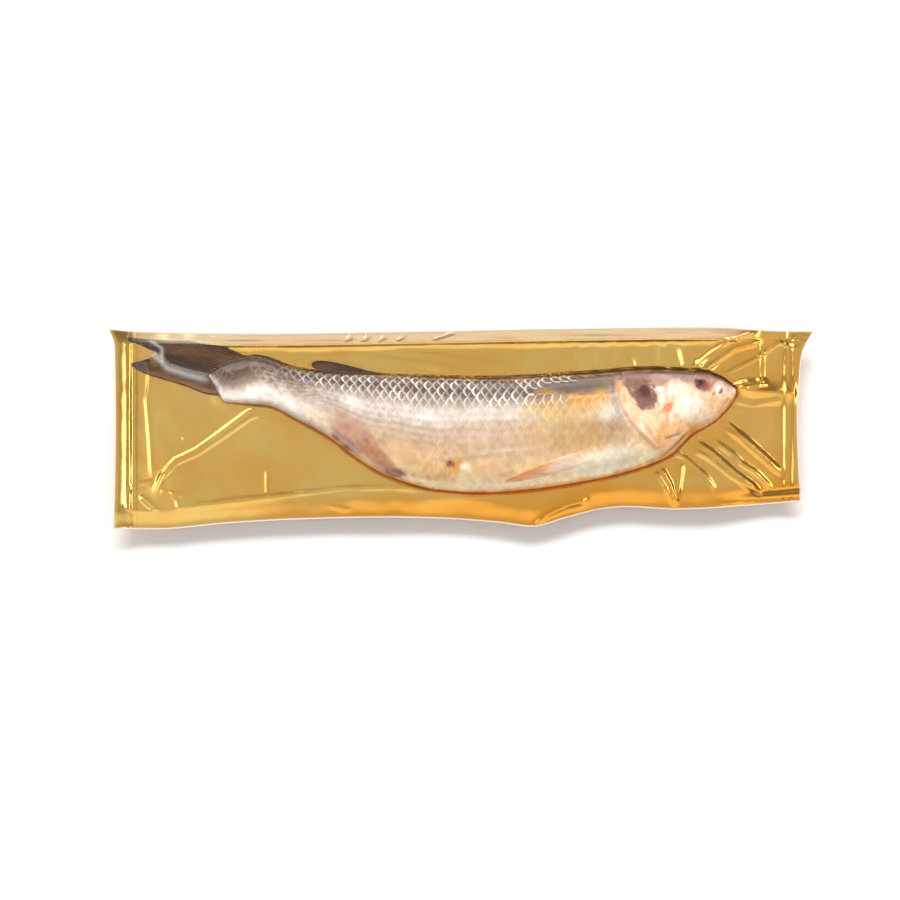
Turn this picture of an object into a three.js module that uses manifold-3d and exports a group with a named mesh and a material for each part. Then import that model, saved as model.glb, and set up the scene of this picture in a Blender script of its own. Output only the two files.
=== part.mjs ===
// A whole salted grey mullet sealed in a long vacuum pouch: a gold metallised foil back and a clear
// film front. Millimetres. The pack lies on a table, on the fish's flank, with its margins clear of the
// table: +X runs along it towards the fish's head, +Y across it towards the fish's back, +Z up. The
// origin is on the table, under the pouch's middle.

import * as THREE from 'three';
import { mergeVertices } from 'three/addons/utils/BufferGeometryUtils.js';
import Module from 'manifold-3d';

// ---- Driving dimensions ----

const POUCH_LENGTH = 424; // over the corner tips
const POUCH_WIDTH = 122;
const FISH_LENGTH = 366; // snout to the tip of the tail
const FISH_DEPTH = 68; // back to belly
const FISH_THICKNESS = 38; // flank to flank, pressed by the vacuum
const SNOUT_X = 165;
const FOIL = 0.5; // both sheets are drawn thicker than real film, which is about 0.1
const FILM = 0.4;
const GAP = 0.3; // between sheets, and between a sheet and the fish
const FIN = 1.6; // folded rays and membrane
const RAISED = 0.6; // a fin that lies on the flank stands this proud of it
const SNUG = 0.5; // from the flank up to the film

const FISH_FLOOR = FOIL + GAP; // the flank that the fish lies on
const WIDEST = 0.38; // height of the fish's middle plane off its floor, as a share of its thickness
const PLANE = FISH_FLOOR + WIDEST * FISH_THICKNESS; // its outline, tail and snout lie in this plane
const LOWER = 0.42; // how far the lower flank would bulge below the plane if the table didn't press it
const SEAM = PLANE - 1.5; // the foil's upper face where the two sheets lie together
const RIM = 0.06; // half the height of the outline's blunt edge, as a share of the thickness
const FOOT = 5; // from the fish's outline out to where the film meets the foil
const TAKE_OFF = 0.95; // share of the half depth at which the film leaves the flank

// ---- Outlines ----

// A smooth function through [position, value] points that never overshoots them.
function curve(points) {
  const sorted = [...points].sort((a, b) => a[0] - b[0]);
  const at = sorted.map((p) => p[0]);
  const value = sorted.map((p) => p[1]);
  const last = at.length - 1;
  const rise = at.slice(1).map((a, i) => (value[i + 1] - value[i]) / (a - at[i]));
  const slope = at.map((_, i) => {
    if (i === 0 || i === last || rise[i - 1] * rise[i] <= 0) return 0;
    return (2 * rise[i - 1] * rise[i]) / (rise[i - 1] + rise[i]);
  });
  slope[0] = rise[0];
  slope[last] = rise[last - 1];
  return (t) => {
    const x = THREE.MathUtils.clamp(t, at[0], at[last]);
    const i = Math.min(last - 1, at.findLastIndex((a) => a <= x));
    const width = at[i + 1] - at[i];
    const u = (x - at[i]) / width;
    const near = (1 + 2 * u) * (1 - u) ** 2 * value[i] + u * (1 - u) ** 2 * width * slope[i];
    const far = u * u * (3 - 2 * u) * value[i + 1] - u * u * (1 - u) * width * slope[i + 1];
    return near + far;
  };
}

// The fish's back, belly and thickness against the share of its length behind the snout. Heights are
// shares of its depth above the pouch's centre line, and the thickness is a share of the thickest.
const BACK = curve([
  [0, 0.36], [0.008, 0.39], [0.027, 0.453], [0.055, 0.497], [0.14, 0.519], [0.25, 0.475],
  [0.4, 0.431], [0.57, 0.459], [0.64, 0.472], [0.72, 0.522], [0.79, 0.64], [0.83, 0.58], [0.865, 0.485],
]);
const BELLY = curve([
  [0, 0.28], [0.011, 0.188], [0.036, 0.06], [0.071, -0.05], [0.11, -0.245], [0.18, -0.385],
  [0.25, -0.469], [0.34, -0.54], [0.42, -0.568], [0.49, -0.543], [0.566, -0.432], [0.617, -0.282],
  [0.668, -0.076], [0.719, 0.075], [0.77, 0.2], [0.84, 0.232], [0.855, 0.37], [0.865, 0.455],
]);
const THICKNESS = curve([
  [0, 0.14], [0.012, 0.3], [0.035, 0.5], [0.09, 0.76], [0.16, 0.94], [0.25, 1], [0.36, 0.98],
  [0.46, 0.88], [0.56, 0.72], [0.65, 0.52], [0.72, 0.4], [0.8, 0.25], [0.84, 0.14], [0.865, 0.09],
]);

// The sections that the body is drawn through, closer where its outline turns.
const STATIONS = [
  0, 0.006, 0.018, 0.036, 0.06, 0.09, 0.125, 0.165, 0.21, 0.26, 0.31, 0.36, 0.41, 0.455, 0.5,
  0.54, 0.58, 0.62, 0.66, 0.695, 0.73, 0.765, 0.795, 0.825, 0.85, 0.865,
];
const ACROSS = [0, 0.25, 0.5, 0.7, 0.84, TAKE_OFF, 1]; // shares of the half depth

// The pouch's four edges, in shares of half its length and half its width. The top edge's curl pulls
// it in along the middle, and the fish's weight and the vacuum pull in the other three.
function edge(points, along, across) {
  const line = curve(points);
  return (t) => (across / 2) * line((2 * t) / along);
}

const TOP_EDGE = edge(
  [
    [-1, 0.98], [-0.9, 0.956], [-0.55, 0.938], [-0.18, 0.956], [0.28, 0.984], [0.71, 1], [0.88, 0.967],
    [1, 0.959],
  ],
  POUCH_LENGTH,
  POUCH_WIDTH,
);
const BOTTOM_EDGE = edge(
  [
    [-0.986, -0.993], [-0.87, -1], [-0.665, -0.941], [-0.467, -0.902], [-0.21, -0.882],
    [-0.066, -0.892], [0.108, -0.934], [0.2, -0.974], [0.3, -0.885], [0.396, -0.803], [0.47, -0.779],
    [0.61, -0.803], [0.86, -0.754], [0.967, -0.721],
  ],
  POUCH_LENGTH,
  POUCH_WIDTH,
);
const LEFT_EDGE = edge(
  [[-1, -0.986], [-0.574, -0.9825], [0.115, -0.98], [0.82, -0.984], [0.98, -1]],
  POUCH_WIDTH,
  POUCH_LENGTH,
);
const RIGHT_EDGE = edge(
  [[-0.72, 0.967], [-0.43, 0.959], [0.115, 0.955], [0.59, 0.962], [0.75, 0.969], [0.959, 1]],
  POUCH_WIDTH,
  POUCH_LENGTH,
);

// ---- Closed solids between an upper and a lower surface over one grid ----

// point(i, j) gives [x, y, bottom, top]. i runs towards +X and j towards +Y.
function slab(rows, columns, point) {
  const position = [];
  for (let i = 0; i <= rows; i++) {
    for (let j = 0; j <= columns; j++) {
      const [x, y, bottom, top] = point(i, j);
      position.push(x, y, bottom, x, y, top);
    }
  }
  const low = (i, j) => 2 * (i * (columns + 1) + j);
  const high = (i, j) => low(i, j) + 1;
  const index = [];
  const quad = (a, b, c, d) => index.push(a, b, c, a, c, d);
  for (let i = 0; i < rows; i++) {
    for (let j = 0; j < columns; j++) {
      quad(high(i, j), high(i + 1, j), high(i + 1, j + 1), high(i, j + 1));
      quad(low(i, j), low(i, j + 1), low(i + 1, j + 1), low(i + 1, j));
    }
    quad(low(i, 0), low(i + 1, 0), high(i + 1, 0), high(i, 0));
    quad(low(i + 1, columns), low(i, columns), high(i, columns), high(i + 1, columns));
  }
  for (let j = 0; j < columns; j++) {
    quad(low(0, j + 1), low(0, j), high(0, j), high(0, j + 1));
    quad(low(rows, j), low(rows, j + 1), high(rows, j + 1), high(rows, j));
  }
  const geometry = new THREE.BufferGeometry();
  geometry.setAttribute('position', new THREE.Float32BufferAttribute(position, 3));
  geometry.setIndex(index);
  return geometry;
}

const wasm = await Module();
wasm.setup();

// One closed solid from several that overlap.
function join(geometries) {
  const solids = geometries.map((geometry) => {
    const merged = mergeVertices(geometry);
    return new wasm.Manifold(
      new wasm.Mesh({
        numProp: 3,
        vertProperties: merged.attributes.position.array,
        triVerts: new Uint32Array(merged.index.array),
      }),
    );
  });
  const mesh = solids.reduce((whole, solid) => whole.add(solid)).getMesh();
  const geometry = new THREE.BufferGeometry();
  geometry.setAttribute('position', new THREE.BufferAttribute(mesh.vertProperties, 3));
  geometry.setIndex(new THREE.BufferAttribute(mesh.triVerts, 1));
  return geometry;
}

// ---- The fish ----

// The middle, half depth and thickness of the body's section at x.
function section(x) {
  const behind = (SNOUT_X - x) / FISH_LENGTH;
  const back = FISH_DEPTH * BACK(behind);
  const belly = FISH_DEPTH * BELLY(behind);
  return {
    middle: (back + belly) / 2,
    half: (back - belly) / 2,
    thick: FISH_THICKNESS * THICKNESS(behind),
  };
}

// The under and upper flank at x, at a share u of the half depth: round above, pressed flat below.
function flanks(x, u) {
  const { thick } = section(x);
  const round = Math.sqrt(Math.max(0, 1 - Math.abs(u) ** 2.4));
  const flat = Math.sqrt(Math.max(0, 1 - u ** 4));
  return {
    under: Math.max(FISH_FLOOR, PLANE - thick * (RIM + (LOWER - RIM) * flat)),
    upper: PLANE + thick * (RIM + (1 - WIDEST - RIM) * round),
  };
}

function flanksAt(x, y) {
  const { middle, half } = section(x);
  return flanks(x, THREE.MathUtils.clamp((y - middle) / half, -1, 1));
}

const stationX = (share) => SNOUT_X - share * FISH_LENGTH;

function makeBody() {
  const rows = STATIONS.map(stationX).reverse();
  const columns = [...ACROSS.slice(1).reverse().map((u) => -u), ...ACROSS];
  return slab(rows.length - 1, columns.length - 1, (i, j) => {
    const { middle, half } = section(rows[i]);
    const { under, upper } = flanks(rows[i], columns[j]);
    return [rows[i], middle + half * columns[j], under, upper];
  });
}

// A fin is a blade between two edges, each a list of [x, y] points, with its surfaces given by a
// function of x and y. Edges start at the fin's root, inside the body.
const inPlane = (x, y) => {
  const height = PLANE + curl(x, y);
  return [height - FIN / 2, height + FIN / 2];
};
const onUpperFlank = (x, y) => {
  const { upper } = flanksAt(x, y);
  return [upper - 3, upper + RAISED];
};
const onUnderFlank = (x, y) => {
  const { under } = flanksAt(x, y);
  return [Math.max(FISH_FLOOR, under), under + 3]; // the table presses it flush
};

const PECTORAL = {
  from: 43,
  to: 90,
  low: curve([[43, 20.5], [58.5, 18.8], [76, 18.8], [90, 22]]),
  high: curve([[43, 23], [56, 27], [72, 28.6], [90, 29]]),
};
const PELVIC = {
  from: 26,
  to: 80,
  low: curve([[26, -33], [42, -30.5], [60, -26], [80, -19]]),
  high: curve([[26, -31.2], [38, -25.5], [51, -20], [66, -15], [80, -11]]),
};
const FINS = [
  { // upper lobe of the tail
    from: -200,
    to: -122,
    low: curve([[-200, 53], [-192, 49.5], [-182, 44.5], [-168, 37.5], [-152, 31], [-122, 26]]),
    high: curve([[-200, 54.5], [-181, 52.9], [-166, 52], [-152, 50], [-140, 47], [-122, 41]]),
    surfaces: inPlane,
  },
  { // lower lobe of the tail
    from: -197,
    to: -130,
    low: curve([[-197, 37], [-192, 33.5], [-180, 29.4], [-166, 25.2], [-152, 20.2], [-130, 18]]),
    high: curve([[-197, 39.5], [-188, 42], [-182, 44.8], [-168, 39.5], [-152, 33], [-130, 28]]),
    surfaces: inPlane,
  },
  { // second dorsal fin, folded back along the back
    from: -90,
    to: -34,
    low: curve([[-90, 37.5], [-86, 34.4], [-70, 29], [-34, 26]]),
    high: curve([[-90, 39.5], [-86, 40.8], [-80, 40.3], [-56, 34.7], [-34, 29.5]]),
    surfaces: inPlane,
  },
  { // first dorsal fin, its four spines folded down
    from: 14,
    to: 56,
    low: curve([[14, 26], [56, 27]]),
    high: curve([[14, 30], [30, 31.2], [46, 31.4], [56, 29.4]]),
    surfaces: inPlane,
  },
  { ...PECTORAL, surfaces: onUpperFlank },
  { ...PECTORAL, surfaces: onUnderFlank },
  { ...PELVIC, surfaces: onUpperFlank },
  { ...PELVIC, surfaces: onUnderFlank },
];

function makeFin({ from, to, low, high, surfaces }) {
  const rows = 8;
  const columns = 3;
  return slab(rows, columns, (i, j) => {
    const x = THREE.MathUtils.lerp(from, to, i / rows);
    const y = THREE.MathUtils.lerp(low(x), high(x), j / columns);
    return [x, y, ...surfaces(x, y)];
  });
}

// ---- The pouch ----

// How far the pouch's margin curls up off the seam plane. The middle is flat.
function curl(x, y) {
  const rise = (height, distance, width) =>
    height * (1 - THREE.MathUtils.smoothstep(distance, 0, width));
  const along =
    THREE.MathUtils.smoothstep(x, -200, -120) * (1 - THREE.MathUtils.smoothstep(x, 120, 195));
  return (
    rise(7 * along, TOP_EDGE(x) - y, 10) +
    rise(3, y - BOTTOM_EDGE(x), 12) +
    rise(4, x - LEFT_EDGE(y), 14) +
    rise(4, RIGHT_EDGE(y) - x, 14)
  );
}

// Both sheets lie in the seam plane, and part where the fish is between them. side is 1 for the film,
// on the upper flank, and -1 for the foil, under the lower one: each is snug on its flank, and returns
// straight to the seam plane a little way out.
function sheetOnBody(x, y, side, level) {
  const { middle, half } = section(x);
  const out = Math.abs(y - middle);
  const leave = TAKE_OFF * half;
  const { upper, under } = flanks(x, THREE.MathUtils.clamp(out, 0, leave) / half);
  const snug = side > 0 ? upper + SNUG : under - GAP;
  const foot = half + FOOT;
  const share = THREE.MathUtils.clamp((foot - out) / (foot - leave), 0, 1);
  const tail = stationX(STATIONS.at(-1));
  const pastEnd = Math.max(x - SNOUT_X, tail - x, 0) / (1.6 * FOOT);
  return THREE.MathUtils.lerp(THREE.MathUtils.lerp(level, snug, share), level, Math.min(1, pastEnd));
}

// A sheet stays clear of a fin until well past the fin's edges.
function sheetOnFin({ from, to, low, high, surfaces }, x, y, side, level) {
  const clear = 1.8 * FOOT;
  const nearest = THREE.MathUtils.clamp(x, from, to);
  const isNear =
    Math.abs(x - nearest) <= clear && y >= low(nearest) - clear && y <= high(nearest) + clear;
  if (!isNear) return level;
  const [under, upper] = surfaces(nearest, y);
  return side > 0 ? upper + 2 * SNUG : Math.max(FOIL, under - 3 * GAP);
}

function filmUnderside(x, y) {
  const level = SEAM + curl(x, y) + GAP;
  const fins = FINS.filter((fin) => fin.surfaces !== onUnderFlank);
  return Math.max(sheetOnBody(x, y, 1, level), ...fins.map((fin) => sheetOnFin(fin, x, y, 1, level)));
}

function foilUnderside(x, y) {
  const level = SEAM + curl(x, y);
  const fins = FINS.filter((fin) => fin.surfaces === onUnderFlank);
  const top = Math.min(
    sheetOnBody(x, y, -1, level),
    ...fins.map((fin) => sheetOnFin(fin, x, y, -1, level)),
  );
  return top - FOIL;
}

// Both sheets share one grid, so that their margins stay the same distance apart.
const tailRows = [-204, -198, -190, -182, -174, -166, -158];
const headRows = [169, 174, 181, 189, 196, 200];
const POUCH_ROWS = [null, ...tailRows, ...STATIONS.map(stationX).reverse(), ...headRows, null];
const MARGIN = [0.25, 0.55, 0.78, 0.9, 1]; // shares of the way from the film's foot to the edge

// The band of the pouch that the fish fills at x: its body, or its tail fin past the body's end.
function lane(x) {
  const body = section(x);
  const [upper, lower] = FINS;
  const middle = (upper.high(x) + lower.low(x)) / 2;
  const half = (upper.high(x) - lower.low(x)) / 2;
  const share = THREE.MathUtils.smoothstep(x, -150, -130);
  return {
    middle: THREE.MathUtils.lerp(middle, body.middle, share),
    half: THREE.MathUtils.lerp(half, body.half, share),
  };
}

function pouchColumns(x) {
  const { middle, half } = lane(x);
  const rail = ACROSS.map((u) => u * half);
  rail.push(half + FOOT / 2, half + FOOT);
  const foot = half + FOOT;
  const below = MARGIN.map((share) => THREE.MathUtils.lerp(middle - foot, BOTTOM_EDGE(x), share));
  const above = MARGIN.map((share) => THREE.MathUtils.lerp(middle + foot, TOP_EDGE(x), share));
  const lower = rail.slice(1).map((y) => middle - y);
  return [...below.reverse(), ...lower.reverse(), ...rail.map((y) => middle + y), ...above];
}

function pouchPoint(i, j) {
  if (i > 0 && i < POUCH_ROWS.length - 1) return [POUCH_ROWS[i], pouchColumns(POUCH_ROWS[i])[j]];
  const edge = i === 0 ? LEFT_EDGE : RIGHT_EDGE;
  const inner = i === 0 ? POUCH_ROWS[1] : POUCH_ROWS.at(-2);
  const near = edge(pouchColumns(inner)[j]);
  const y = pouchColumns(near)[j];
  return [edge(y), y];
}

function makeSheet(thickness, underside) {
  const columns = pouchColumns(0).length - 1;
  return slab(POUCH_ROWS.length - 1, columns, (i, j) => {
    const [x, y] = pouchPoint(i, j);
    const bottom = underside(x, y);
    return [x, y, bottom, bottom + thickness];
  });
}

// ---- The assembly ----

function finish(name, geometry, material) {
  const mesh = new THREE.Mesh(geometry, new THREE.MeshStandardMaterial(material));
  mesh.name = name;
  return mesh;
}

const pouch = new THREE.Group();
pouch.add(
  finish('salted_mullet', join([makeBody(), ...FINS.map(makeFin)]), {
    color: 0xd9c8b8,
    roughness: 0.4,
    metalness: 0,
  }),
  finish('gold_foil_back', makeSheet(FOIL, foilUnderside), {
    color: 0xd9a441,
    roughness: 0.25,
    metalness: 1,
  }),
  finish('clear_film_front', makeSheet(FILM, filmUnderside), {
    color: 0xffffff,
    roughness: 0.08,
    metalness: 0,
    transparent: true,
    opacity: 0.2,
  }),
);

export default pouch;
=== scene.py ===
"""A whole salted mullet in its vacuum pouch: skin, scales, fins and eye, gold foil and clear film."""

import math

import bpy
import numpy as np
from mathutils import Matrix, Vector


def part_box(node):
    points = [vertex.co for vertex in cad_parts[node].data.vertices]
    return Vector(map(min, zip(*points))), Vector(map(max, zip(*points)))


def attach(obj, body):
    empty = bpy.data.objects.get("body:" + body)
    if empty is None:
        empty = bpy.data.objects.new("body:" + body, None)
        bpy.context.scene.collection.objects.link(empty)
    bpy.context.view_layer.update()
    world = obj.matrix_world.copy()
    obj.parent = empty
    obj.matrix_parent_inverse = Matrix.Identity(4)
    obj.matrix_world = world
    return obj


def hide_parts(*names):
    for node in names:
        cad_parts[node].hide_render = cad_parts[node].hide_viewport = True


bl_info = {
    "name": "Salted Mullet in a Vacuum Pouch",
    "version": (1, 0, 0),
    "blender": (4, 5, 0),
    "location": "View3D > Sidebar > Mullet",
    "description": "Builds the skin, scales, fins, foil and film of a vacuum-packed salted mullet",
    "category": "Object",
}

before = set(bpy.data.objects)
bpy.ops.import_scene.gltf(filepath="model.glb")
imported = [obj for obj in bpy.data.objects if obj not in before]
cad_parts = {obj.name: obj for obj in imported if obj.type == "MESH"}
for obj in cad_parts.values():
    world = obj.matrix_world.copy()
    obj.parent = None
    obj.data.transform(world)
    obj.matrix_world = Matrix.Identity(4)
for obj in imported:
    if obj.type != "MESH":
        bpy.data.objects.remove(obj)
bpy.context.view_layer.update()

# ---- Sizes, in millimetres in the frame of the CAD part ----

MM = 0.001
FISH_LOW, FISH_HIGH = (np.array(corner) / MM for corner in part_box("salted_mullet"))
POUCH_LOW, POUCH_HIGH = (np.array(corner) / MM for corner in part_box("gold_foil_back"))
SNOUT_X = FISH_HIGH[0]
FISH_FLOOR = FISH_LOW[2]
FISH_LENGTH = 366.0
FISH_DEPTH = 68.0
FISH_THICKNESS = FISH_HIGH[2] - FISH_LOW[2]
BODY_END = 0.865  # the fleshy tail root ends at this share of the length
HALF_LENGTH = (POUCH_HIGH[0] - POUCH_LOW[0]) / 2
HALF_WIDTH = (POUCH_HIGH[1] - POUCH_LOW[1]) / 2
WIDEST = 0.38  # height of the fish's middle plane off its floor, as a share of its thickness
PLANE = FISH_FLOOR + WIDEST * FISH_THICKNESS  # its outline, tail and snout lie in this plane
LOWER = 0.42  # how far the lower flank would bulge below the plane if the table didn't press it
SEAM = PLANE - 1.5  # the foil's upper face where the two sheets lie together
SHEET = 0.15  # thickness of the foil and of the film
SEAL_GAP = 0.08  # between the two sheets
LENS_SPREAD, LENS_SHIFT = 1.024, 0.3  # the upper flank is nearer the lens than the table is
TABLE_HALF = 2500

# Grain of the finishes, in bumps per metre, with the size of one bump.
SKIN_GRAIN = 900.0  # 1.1 mm
FIN_GRAIN = 700.0  # 1.4 mm
FOIL_GRAIN = 260.0  # 3.8 mm, a faint ripple
FOIL_WAVES = 28.0  # 36 mm
LACQUER_DRIFT = 36.0  # 28 mm
FILM_GRAIN = 190.0  # 5.3 mm, a faint ripple
TABLE_GRAIN = 60.0  # 17 mm
FILM_SHINE, MOST_SHINE = 0.4, 0.08  # share of its reflection that the film keeps, and the most of it


# ---- Numbers and noise ----


def smooth(t):
    return t * t * (3 - 2 * t)


def ramp(low, high, value):
    """0 below low and 1 above high, smoothly. It falls instead where low is the larger."""
    return smooth(np.clip((value - low) / (high - low), 0, 1))


def mix(a, b, share):
    return a + (b - a) * share


def curve(points):
    """A smooth function through [position, value] points that never overshoots them."""
    at, value = (np.array(column, float) for column in zip(*sorted(points)))
    width = np.diff(at)
    rise = np.diff(value) / width
    slope = np.zeros(len(at))
    together = rise[:-1] * rise[1:] > 0
    total = np.where(together, rise[:-1] + rise[1:], 1)
    slope[1:-1] = np.where(together, 2 * rise[:-1] * rise[1:] / total, 0)
    slope[0], slope[-1] = rise[0], rise[-1]

    def evaluate(t):
        x = np.clip(t, at[0], at[-1])
        i = np.clip(np.searchsorted(at, x, side="right") - 1, 0, len(at) - 2)
        u = (x - at[i]) / width[i]
        near = (1 + 2 * u) * (1 - u) ** 2 * value[i] + u * (1 - u) ** 2 * width[i] * slope[i]
        far = u * u * (3 - 2 * u) * value[i + 1] - u * u * (1 - u) * width[i] * slope[i + 1]
        return near + far

    return evaluate


def noise(x, y, size, seed=0):
    """Smooth random values from -1 to 1 whose bumps are about size across."""
    gx, gy = np.asarray(x) / size, np.asarray(y) / size
    ix, iy = np.floor(gx), np.floor(gy)
    fx, fy = smooth(gx - ix), smooth(gy - iy)

    def corner(dx, dy):
        value = np.sin((ix + dx) * 127.1 + (iy + dy) * 311.7 + seed * 74.7) * 43758.5453
        return 2 * (value - np.floor(value)) - 1

    low = mix(corner(0, 0), corner(1, 0), fx)
    return mix(low, mix(corner(0, 1), corner(1, 1), fx), fy)


def cloud(x, y, size, seed=0):
    """Noise with finer noise on it."""
    return (
        noise(x, y, size, seed)
        + 0.5 * noise(x, y, size / 2.1, seed + 1)
        + 0.25 * noise(x, y, size / 4.3, seed + 2)
    ) / 1.75


def to_path(x, y, points):
    """Distance to a chain of points, and how far along it the nearest place is, from 0 to 1."""
    chain = np.array(points, float)
    lengths = np.hypot(*np.diff(chain, axis=0).T)
    starts = np.concatenate([[0], np.cumsum(lengths)])
    best = np.full(np.shape(x), np.inf)
    along = np.zeros(np.shape(x))
    for (ax, ay), (bx, by), start, length in zip(chain, chain[1:], starts, lengths):
        t = ((x - ax) * (bx - ax) + (y - ay) * (by - ay)) / length**2
        t = np.clip(t, 0, 1)
        away = np.hypot(x - mix(ax, bx, t), y - mix(ay, by, t))
        nearer = away < best
        best = np.where(nearer, away, best)
        along = np.where(nearer, (start + t * length) / starts[-1], along)
    return best, along


def srgb(text):
    """The red, green and blue of a #rrggbb colour, from 0 to 1, as written."""
    return np.array([int(text[i : i + 2], 16) / 255 for i in (1, 3, 5)])


def to_linear(colour):
    colour = np.asarray(colour, float)
    return np.where(colour <= 0.04045, colour / 12.92, ((colour + 0.055) / 1.055) ** 2.4)


def linear(text):
    """A #rrggbb colour as the four linear numbers that a colour socket takes."""
    return (*to_linear(srgb(text)).tolist(), 1.0)


# ---- The fish's form ----

# Back, belly and thickness against the share of the length behind the snout, as in the CAD part.
BACK = curve([
    (0, 0.36), (0.008, 0.39), (0.027, 0.453), (0.055, 0.497), (0.14, 0.519), (0.25, 0.475),
    (0.4, 0.431), (0.57, 0.459), (0.64, 0.472), (0.72, 0.522), (0.79, 0.64), (0.83, 0.58),
    (BODY_END, 0.485),
])
BELLY = curve([
    (0, 0.28), (0.011, 0.188), (0.036, 0.06), (0.071, -0.05), (0.11, -0.245), (0.18, -0.385),
    (0.25, -0.469), (0.34, -0.54), (0.42, -0.568), (0.49, -0.543), (0.566, -0.432),
    (0.617, -0.282), (0.668, -0.076), (0.719, 0.075), (0.77, 0.2), (0.84, 0.232), (0.855, 0.37),
    (BODY_END, 0.455),
])
THICKNESS = curve([
    (0, 0.14), (0.012, 0.3), (0.035, 0.5), (0.09, 0.76), (0.16, 0.94), (0.25, 1), (0.36, 0.98),
    (0.46, 0.88), (0.56, 0.72), (0.65, 0.52), (0.72, 0.4), (0.8, 0.25), (0.84, 0.14),
    (BODY_END, 0.09),
])

# The rear edge of the gill cover, as x against y.
GILL_EDGE = curve([
    (-22, 128), (-17, 123), (-13, 119.5), (-2.4, 108), (8.5, 99.5), (20.4, 95), (28, 95.6), (34, 99),
])
PUPIL = (145.4, 28.4)
EYE = (147.5, 28.2)  # both as seen from above


def section(x):
    """The middle, half depth and thickness of the body's section at x."""
    behind = (SNOUT_X - x) / FISH_LENGTH
    back, belly = FISH_DEPTH * BACK(behind), FISH_DEPTH * BELLY(behind)
    return (back + belly) / 2, (back - belly) / 2, FISH_THICKNESS * THICKNESS(behind)


def upper_flank(x, u):
    """Height of the upper flank at a share u of the half depth, from -1 at the belly to 1."""
    _, _, thick = section(x)
    return PLANE + thick * (1 - WIDEST) * np.sqrt(np.maximum(0, 1 - np.abs(u) ** 2.4))


def under_flank(x, u):
    """Height of the flank that the fish lies on, pressed flatter."""
    _, _, thick = section(x)
    return np.maximum(FISH_FLOOR, PLANE - thick * LOWER * np.sqrt(np.maximum(0, 1 - u**4)))


def seen_from_above(x, y):
    """Where a place on the flank seems to lie when seen by the lens: a little further out."""
    return x * LENS_SPREAD, y * LENS_SPREAD + LENS_SHIFT


def groove(x, y, points, width):
    """1 on a chain of points, falling to 0 at width from it and towards its ends."""
    away, along = to_path(x, y, points)
    return ramp(width, 0, away) * ramp(0, 0.15, along) * ramp(1, 0.85, along)


def relief(x, y):
    """How far the skin of either flank stands out: gill cover, cheek, eye, jaws and nostril."""
    x, y = seen_from_above(x, y)
    ahead = x - GILL_EDGE(y)
    cover = 1.0 * ramp(-0.7, 0.9, ahead) * ramp(34, 8, ahead)
    hollow = -0.9 * ramp(-14, -1, ahead) * ramp(1.2, -0.4, ahead) * ramp(34, 26, y)
    rim = 0.45 * ramp(2.2, 0.9, np.abs(ahead - 2.4))
    plate = [(100, 31), (104.5, 18), (111, 9.5), (119.5, 6.5), (124, 12), (125, 22)]
    inner = -0.35 * groove(x, y, plate, 1.6)
    cheek = 1.3 * ramp(1, 0, np.hypot((x - 137) / 15, (y - 12) / 13))
    eye_away = np.hypot((x - EYE[0]) / 1.1, y - EYE[1])
    eye = 1.1 * ramp(6.2, 1.5, eye_away) - 0.5 * ramp(1.4, 0, np.abs(eye_away - 6.4))
    jaw = -0.9 * groove(x, y, [(121, -6), (129, -4.4), (137, -1)], 1.5)
    chin = -1.1 * groove(x, y, [(121, -18), (130, -11), (139.5, -2)], 1.7)
    lip = -0.8 * groove(x, y, [(146, 0), (155, 7), (162, 14), (165, 20)], 1.2)
    nostril = -0.9 * ramp(1.5, 0, np.hypot(x - 156.5, (y - 23.5) / 1.5))
    vent = 0.8 * ramp(3.6, 0, np.hypot(x - 1.7, y + 24)) - 0.8 * ramp(1.8, 0, np.hypot(x + 6, y + 21.5))
    return cover + hollow + rim + inner + cheek + eye + jaw + chin + lip + nostril + vent


# ---- Colours of the skin ----

# Colour from belly (-1) to back (1) on three stretches of the fish, and the dabs laid over them. Besides
# the skin's own colours these hold painted light and shade: the belly is painted lighter and the back
# darker to even out the key lamp behind the back, and the pale band from 0.28 to 0.45 on the trunk and the
# near-white lower half of the tail root are partly painted highlights.
TRUNK = [
    (-1.0, "#f2b878"), (-0.88, "#ffe2b2"), (-0.62, "#f7cd97"), (-0.35, "#d9b184"), (-0.1, "#bc9c7c"),
    (0.08, "#b99f87"), (0.28, "#d5c5b6"), (0.45, "#c9b9aa"), (0.62, "#9d8977"), (0.8, "#705c4b"),
    (1.0, "#40312a"),
]
TAIL_ROOT = [
    (-1.0, "#cbb091"), (-0.7, "#fcf5ee"), (-0.35, "#f3e7da"), (0.0, "#b9a592"), (0.35, "#735b48"),
    (0.75, "#5a4332"), (1.0, "#38271a"),
]
HEAD = [
    (-1.0, "#efae66"), (-0.7, "#f2b66e"), (-0.3, "#eebf8a"), (0.1, "#edcfab"), (0.5, "#dfbfa2"),
    (0.78, "#967562"), (1.0, "#4c3932"),
]

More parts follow.
